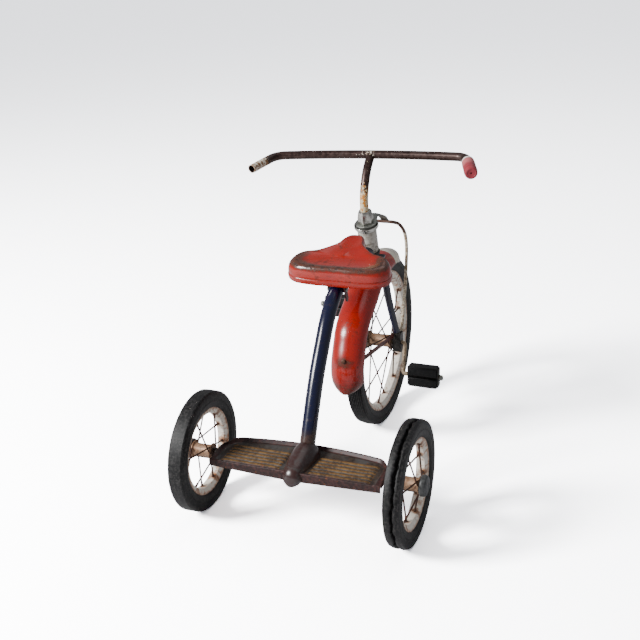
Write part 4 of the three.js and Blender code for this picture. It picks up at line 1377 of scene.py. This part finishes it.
@dataclass
class Head:
    """The head tube with its bearings, and the fork and its bearings. Distances up the axis, mm."""

    tube_foot: float = 259
    tube_top: float = 313
    tube_radius: float = 21.5
    bore: float = 14
    crown_top: float = 236.5

    def make_head(self) -> None:
        """Makes the head tube, the cups, the cones, the steerer and the lock nut."""
        foot, top, outer, bore = self.tube_foot, self.tube_top, self.tube_radius, self.bore
        tube = spun("head_sleeve", rounded([
            (bore, foot), (outer + 0.5, foot), (outer + 0.5, foot + 3), (outer, foot + 5), (outer, top - 5),
            (outer + 0.4, top - 3), (outer + 0.4, top), (bore, top),
        ], 0.7, 2), FRONT_AXLE, STEERING_AXIS, steps=64)
        painted_mask(tube, "worn", lambda point: 0.42)
        WARDROBE.place(tube, HEAD_WHITE, "frame", "head_tube")
        seat, race = top + 0.3, top + 7
        upper = [
            (bore, seat), (22.5, seat), (25.2, seat + 2.6), (25.4, seat + 5.4), (27.4, seat + 6.2),
            (27.5, seat + 12.7), (25.5, seat + 12.7), (24, race), (bore, race),
        ]
        lower = [(bore, 250), (23.4, 250), (23.7, 251), (23.7, 256.4), (22.6, 258.7), (bore, 258.7)]
        for name, profile, finish, body, node in (
            ("head_ring", upper, NICKEL, "frame", "upper_head_cup"),
            ("lower_ring", lower, IRON, "frame", "lower_head_cup"),
            ("upper_cone", ring(13, 20, 320.6, 327.8), ZINC, "steering", "upper_bearing_cone"),
            ("lower_cone", ring(13, 19, 236.8, 249.4), IRON, "steering", "lower_bearing_cone"),
            ("steerer_tube", ring(9.9, 12.7, 236.8, 356), ZINC, "steering", "steerer"),
        ):
            piece = spun(name, rounded(profile, 0.8, 3), FRONT_AXLE, STEERING_AXIS, steps=64)
            WARDROBE.place(piece, finish, body, node)
        WARDROBE.refine("head_nut", "lock_nut", 0.9, NICKEL, "steering")

    def make_fork(self) -> None:
        """Makes the crown and the two tapered legs, and the bearing blocks at their feet."""
        legs = []
        for name, side in SIDES:
            top = up_head(self.crown_top - 5)
            top.x = side * 22 * MM
            line = [top, *[mm(side * x, y, z) for x, y, z in ((30.5, 447, 396), (31, 463, 344), (36, 484, 280))]]
            line.append(FRONT_AXLE + Vector((side * 42, -6, 29)) * MM)
            legs.append(pipe(f"{name}_leg", spline(line, 8), [9.8, 7.5], 32))
            WARDROBE.refine(f"{name}_bearing_block", f"{name}_axle_bearing", 0.9, IRON, "steering")
        select_only()
        bpy.ops.mesh.primitive_cube_add(size=1, location=(0, 0, 0), scale=(60 * MM, 40 * MM, 7 * MM))
        crown = bpy.context.object
        bpy.ops.object.transform_apply(location=True, rotation=True, scale=True)
        crown.data.transform(
            Matrix.Translation(up_head(self.crown_top - 3.5))
            @ Vector((0, 0, 1)).rotation_difference(STEERING_AXIS).to_matrix().to_4x4()
        )
        modify(crown, "BEVEL", width=2.2 * MM, segments=4, limit_method="NONE")
        fork = shaded(joined("fork_assembly", [crown, *legs]))
        WARDROBE.place(fork, NAVY, "steering", "fork")

    def build(self) -> None:
        """Makes the head and the fork."""
        self.make_head()
        self.make_fork()
        LOG.info("head and fork")


@dataclass
class Truss:
    """The rod from both ends of the axle up to a tongue on the head. Millimetres."""

    radius: float = 4
    tongue_width: float = 19
    thickness: float = 2.6
    collar: float = 328.4

    def make_rod(self) -> None:
        """Bends the rod."""
        def leg(side: int) -> list[Vector]:
            """The points of one leg, from its foot up."""
            foot = FRONT_AXLE.z / MM + 27
            return [mm(side * x, y, z) for x, y, z in (
                (50, 511, foot), (50, 520, 257), (50, 540, 322), (50, 554, 385), (50.5, 552, 440), (46, 547, 468),
                (34, 545.5, 483), (22, 545, 486),
            )]
        line = spline([*leg(1), mm(0, 545, 486.5), *reversed(leg(-1))], 6)
        rod = pipe("truss_wire", line, [self.radius], 16)
        painted_mask(rod, "flake", lambda point: 0.15 + 0.6 * fade(point.z / MM, 474, 452))
        WARDROBE.place(rod, TAN, "steering", "truss_rod")

    def make_tongue(self) -> None:
        """Makes the collar and its domed tongue, which grips the rod."""
        top = self.collar + self.thickness
        start = up_head(top - self.thickness / 2)
        points = [start + Vector((0, y, z)) * MM for y, z in ((10, 3.0), (20, 6.5), (34, 9), (58, 6), (86, -3))]
        line = spline([*points, mm(0, 531, 504), mm(0, 544, 494), mm(0, 553.2, 486.5)], 5)
        count = len(line) - 1

        def place(u: float, v: float) -> Vector:
            """A point of the tongue's upper face."""
            i = round(v * count)
            way = (line[min(i + 1, count)] - line[max(i - 1, 0)]).normalized()
            up = ACROSS.cross(way)
            side = u * 2 - 1
            width = lerp(self.tongue_width / 2, 20, fade(v, 0.62, 0.02))
            crown = 1.0 - lerp(1.6, 6.5, fade(v, 0.7, 0.25)) * side * side * fade(v, 0.0, 0.25)
            return line[i] + ACROSS * side * width * MM + up * crown * MM

        tongue = sheet("tongue", place, 12, count, self.thickness, 50)
        section = rounded(ring(13, 24, self.collar, top), 0.9, 3)
        collar = spun("collar", section, FRONT_AXLE, STEERING_AXIS, steps=56)
        piece = joined("truss_tongue", [collar, tongue])
        WARDROBE.place(piece, ZINC, "steering", "truss_bracket")

    def build(self) -> None:
        """Makes the rod and the tongue."""
        self.make_rod()
        self.make_tongue()
        LOG.info("truss rod and tongue")


@dataclass
class Fender:
    """The long front fender with its stay and rivet. Degrees back from the top, millimetres."""

    half_width: float = 38
    depth: float = 31
    wall: float = 1.3
    tail_start: float = 88
    crown: tuple = ((-19, 222), (0, 224), (38, 227), (68, 255), (84, 263), (97, 257))
    across: int = 28
    along: int = 84

    def reach(self, angle: float) -> float:
        """The crown's distance from the axle."""
        for (a0, r0), (a1, r1) in zip(self.crown, self.crown[1:]):
            if angle <= a1:
                return lerp(r0, r1, fade(angle, a0, a1))
        return self.crown[-1][1]

    def point(self, angle: float, side: float) -> Vector:
        """A point of the outer face; side runs from -1 at the left edge to 1 at the right."""
        end = self.crown[-1][0]
        tail = min(max((angle - self.tail_start) / (end - self.tail_start), 0), 1)
        nose = fade(angle, self.crown[0][0] + 7, self.crown[0][0])
        narrow = math.sqrt(1 - tail ** 2.8 * 0.94) * (1 - 0.25 * nose)
        beta = side * math.pi / 2
        radius = self.reach(angle) - self.depth * narrow * (1 - math.cos(beta))
        way = math.radians(angle)
        out = Vector((self.half_width * narrow * math.sin(beta), -radius * math.sin(way), radius * math.cos(way)))
        return FRONT_AXLE + out * MM

    def make_blade(self) -> None:
        """Shapes the fender's sheet."""
        first, last = self.crown[0][0], self.crown[-1][0]

        def angle(v: float) -> float:
            """The angle of a row, closer together at the tail."""
            return first + (last - first) * (1 - (1 - v) ** 1.5)

        def worn(u: float, v: float) -> float:
            """Worn near the tail, at the rivet and along the edges."""
            here, side = angle(v), abs(u * 2 - 1)
            rivet = fade(math.hypot((here - 80) * 4.6, (u * 2 - 1) * 38), 26, 4) * 0.72
            return max(rivet, 0.62 * fade(here, 82, 95), fade(side, 0.9, 1.0) * 0.75, 0.1)

        def pale(u: float, v: float) -> float:
            """The white nose."""
            return fade(angle(v), 0, -4)

        blade = sheet(
            "fender_blade", lambda u, v: self.point(angle(v), 1 - u * 2), self.across, self.along, self.wall, 50,
            masks={"worn": worn, "pale": pale},
        )
        WARDROBE.place(blade, FENDER_RED, "steering", "front_fender")

    def build(self) -> None:
        """Makes the fender, the stay and the rivet."""
        self.make_blade()
        WARDROBE.refine("stay_strap", "fender_stay", 0.5, MAROON, "steering")
        WARDROBE.refine("stay_rivet", "fender_rivet", 0.5, RUSTY, "steering")
        LOG.info("fender")


# ------------------------------------------------------------------ handlebar

@dataclass
class Handlebar:
    """The swept crossbar on its bent stem, with the one grip that is left. Millimetres."""

    radius: float = 9.5
    wall: float = 2.2
    straight: float = 197
    bow: float = 16
    bend: float = 33
    sweep: float = 1.28
    leg: float = 69
    drop: float = 0.124

    def placed(self, point: Vector) -> Vector:
        """Where a point of the bar's own drawing goes on the tricycle."""
        turned = Matrix.Rotation(0.046, 3, "Z") @ Matrix.Rotation(-0.028, 3, "Y") @ point
        return mm(turned.x - 1.3, turned.y + 459.4, turned.z + 663)

    def line(self) -> list[Vector]:
        """The bar's centreline from left to right, in its own drawing."""
        half = [Vector((self.straight * t, -self.bow * t * t, 0)) for t in [i / 8 for i in range(9)]]
        turns, first = 12, math.atan(2 * self.bow / self.straight)
        point = half[-1]
        for i in range(turns):
            way = lerp(first, self.sweep, (i + 0.5) / turns)
            run = self.bend * (self.sweep - first) / turns
            point = point + Vector((math.cos(way), -math.sin(way), -self.drop * math.sin(way))) * run
            half.append(point)
        last = Vector((math.cos(self.sweep), -math.sin(self.sweep), -self.drop))
        half += [point + last * self.leg * t for t in (0.25, 0.5, 0.75, 1)]
        return [*[Vector((-p.x, p.y, p.z)) for p in reversed(half[1:])], *half]

    def make_bar(self) -> None:
        """Bends the crossbar and the stem."""
        bar = pipe("bar_tube", [self.placed(p) for p in self.line()], [self.radius], 32, self.wall)
        middle = spline([self.placed(p) for p in self.line()], 8)
        left_end = middle[0]

        def bar_flake(point: Vector) -> float:
            """The pale remains at the open end, and patches beside the stem."""
            sleeve = fade((point - left_end).length / MM, 62, 40)
            bore = fade(min((point - p).length for p in middle) / MM, self.radius - 1.4, self.radius - 0.8)
            return max(sleeve, 0.5 * fade(abs(point.x / MM + 12), 18, 8), 0.12) * bore

        painted_mask(bar, "flake", bar_flake)
        WARDROBE.place(bar, BAR_CHROME, "steering", "crossbar")
        foot = [up_head(290), up_head(345)]
        rise = spline([up_head(366), *[mm(x, y, z) for x, y, z in (
            (-0.4, 405, 578), (-0.9, 413, 604), (-1.2, 430, 634), (-1.3, 455.5, 659.5),
        )]], 7)
        stem = pipe("stem_tube", [*foot, *rise], [self.radius], 32)
        low = up_head(362).z / MM

        def stem_flake(point: Vector) -> float:
            """Almost all pale at the nut, and less further up."""
            return max(0.16, 0.86 - 0.66 * fade(point.z / MM, low + 8, low + 74))

        painted_mask(stem, "flake", stem_flake)
        WARDROBE.place(stem, CHROME, "steering", "handlebar_stem")

    def make_grip(self) -> None:
        """Spins the grip about the bar's right end."""
        before, end = [self.placed(p) for p in self.line()[-2:]]
        way = (end - before).normalized()
        profile = [
            (0, 1.6), (9.8, 1.4), (9.8, -62), (11.6, -62.4), (12.8, -61.6), (13.2, -60), (13.2, -55.6), (12.5, -54.6),
            (12.7, -53.4), (13.6, -52), (13.8, -48), (13.9, -20), (13.9, -5), (14.2, -3.6), (14.2, -2), (13.7, -1.2),
            (13.7, 4), (13.4, 7.6), (12.4, 9.9), (10.4, 11), (8.6, 10.7), (8.2, 10.1), (3.4, 10), (2.4, 9.8), (2.1, 9),
            (2.1, 6), (0, 6),
        ]
        grip = spun("hand_grip", profile, end, way, steps=56, closed=False)

        def along(point: Vector) -> float:
            """The distance past the bar's end."""
            return (point - end).dot(way) / MM

        painted_mask(grip, "collar", lambda point: fade(along(point), -52.5, -55))
        painted_mask(grip, "end", lambda point: fade(along(point), -50, 4))
        WARDROBE.place(grip, GRIP, "steering", "right_grip")

    def build(self) -> None:
        """Makes the bar, the stem and the grip."""
        self.make_bar()
        self.make_grip()
        LOG.info("handlebar")


# ------------------------------------------------------------------ studio

@dataclass
class Studio:
    """A pale floor and sky, a soft window light from the left, a fill light and the camera."""

    eye: Vector = Vector((0.7397, -1.9894, 1.1558))
    lens: float = 58.6
    sky_light: float = 0.32
    sky_seen: float = 4.0

    def build(self) -> None:
        """Makes the floor, the lights, the sky and the camera."""
        select_only()
        bpy.ops.mesh.primitive_plane_add(size=60, location=(0, 0, 0))
        floor = bpy.context.object
        floor.name = "studio_floor"
        WARDROBE.coat(floor, Floor())
        self.light("window", Vector((-2.4, -2.3, 2.2)), 1.1, 270)
        self.light("fill", Vector((0.5, 1.5, 4.0)), 3.0, 25)
        world = bpy.data.worlds.new("studio_sky")
        world.use_nodes = True
        sky = world.node_tree.nodes["Background"]
        sky.inputs["Color"].default_value = (0.93, 0.95, 1.0, 1)
        links, path = world.node_tree.links, world.node_tree.nodes.new("ShaderNodeLightPath")
        glow = world.node_tree.nodes.new("ShaderNodeMapRange")
        glow.inputs["To Min"].default_value = self.sky_light
        glow.inputs["To Max"].default_value = self.sky_seen
        links.new(path.outputs["Is Camera Ray"], glow.inputs["Value"])
        links.new(glow.outputs["Result"], sky.inputs["Strength"])
        bpy.context.scene.world = world
        camera = bpy.data.cameras.new("camera")
        camera.lens = self.lens
        camera.sensor_width = 36
        eye = bpy.data.objects.new("camera", camera)
        turn = Matrix(((0.9309, -0.1005, 0.3512), (0.3636, 0.3478, -0.8642), (-0.0353, 0.9321, 0.3604)))
        eye.matrix_world = Matrix.Translation(self.eye) @ turn.to_4x4()
        bpy.context.scene.collection.objects.link(eye)
        bpy.context.scene.camera = eye
        LOG.info("studio")

    def light(self, name: str, place: Vector, size: float, power: float) -> None:
        """Adds a square soft light that faces the tricycle."""
        lamp = bpy.data.lights.new(name, "AREA")
        lamp.size = size
        lamp.energy = power
        piece = bpy.data.objects.new(name, lamp)
        way = (Vector((0, 0, 0.25)) - place).to_track_quat("-Z", "Y")
        piece.matrix_world = Matrix.Translation(place) @ way.to_matrix().to_4x4()
        bpy.context.scene.collection.objects.link(piece)


def wheels() -> list[Wheel]:
    """The three wheels with their sizes."""
    rear = dict(
        radius=127, half_width=16.8, rim_radius=92, rim_half_width=12.5, well_radius=81, well_half_width=8, spokes=12,
        hub_half=22, flange=18, barrel=14, bore=8.9, twist=55, first=0.2,
    )
    front = Wheel(
        name="front", body="front_wheel", centre=FRONT_AXLE, radius=203.2, half_width=19, rim_radius=169.3,
        rim_half_width=14, well_radius=157, well_half_width=9, spokes=16, hub_half=29, flange=20.5, barrel=15.5,
        bore=5.4, twist=65, first=math.radians(169.7), tread=Tread.RIBBED,
    )
    pair = [
        RearWheel(
            name=name, body=f"{name}_rear_wheel", centre=Vector(JOINTS[f"{name}_rear_wheel_spin"]["pos_m"]),
            tread=tread, side=side, **rear,
        )
        for (name, side), tread in zip(SIDES, (Tread.PLAIN, Tread.SPLIT))
    ]
    return [front, *pair]


def main() -> None:
    """Builds the studio and the tricycle, piece by piece."""
    logging.basicConfig(level=logging.INFO, format="%(message)s")
    Studio().build()
    for wheel in wheels():
        wheel.build()
    for assembly in (Crank(), RearStep(), FrameTube(), Seat(), Head(), Truss(), Fender(), Handlebar()):
        assembly.build()
    LOG.info("%d new pieces", len(WARDROBE.pieces))


if __name__ == "__main__":
    main()
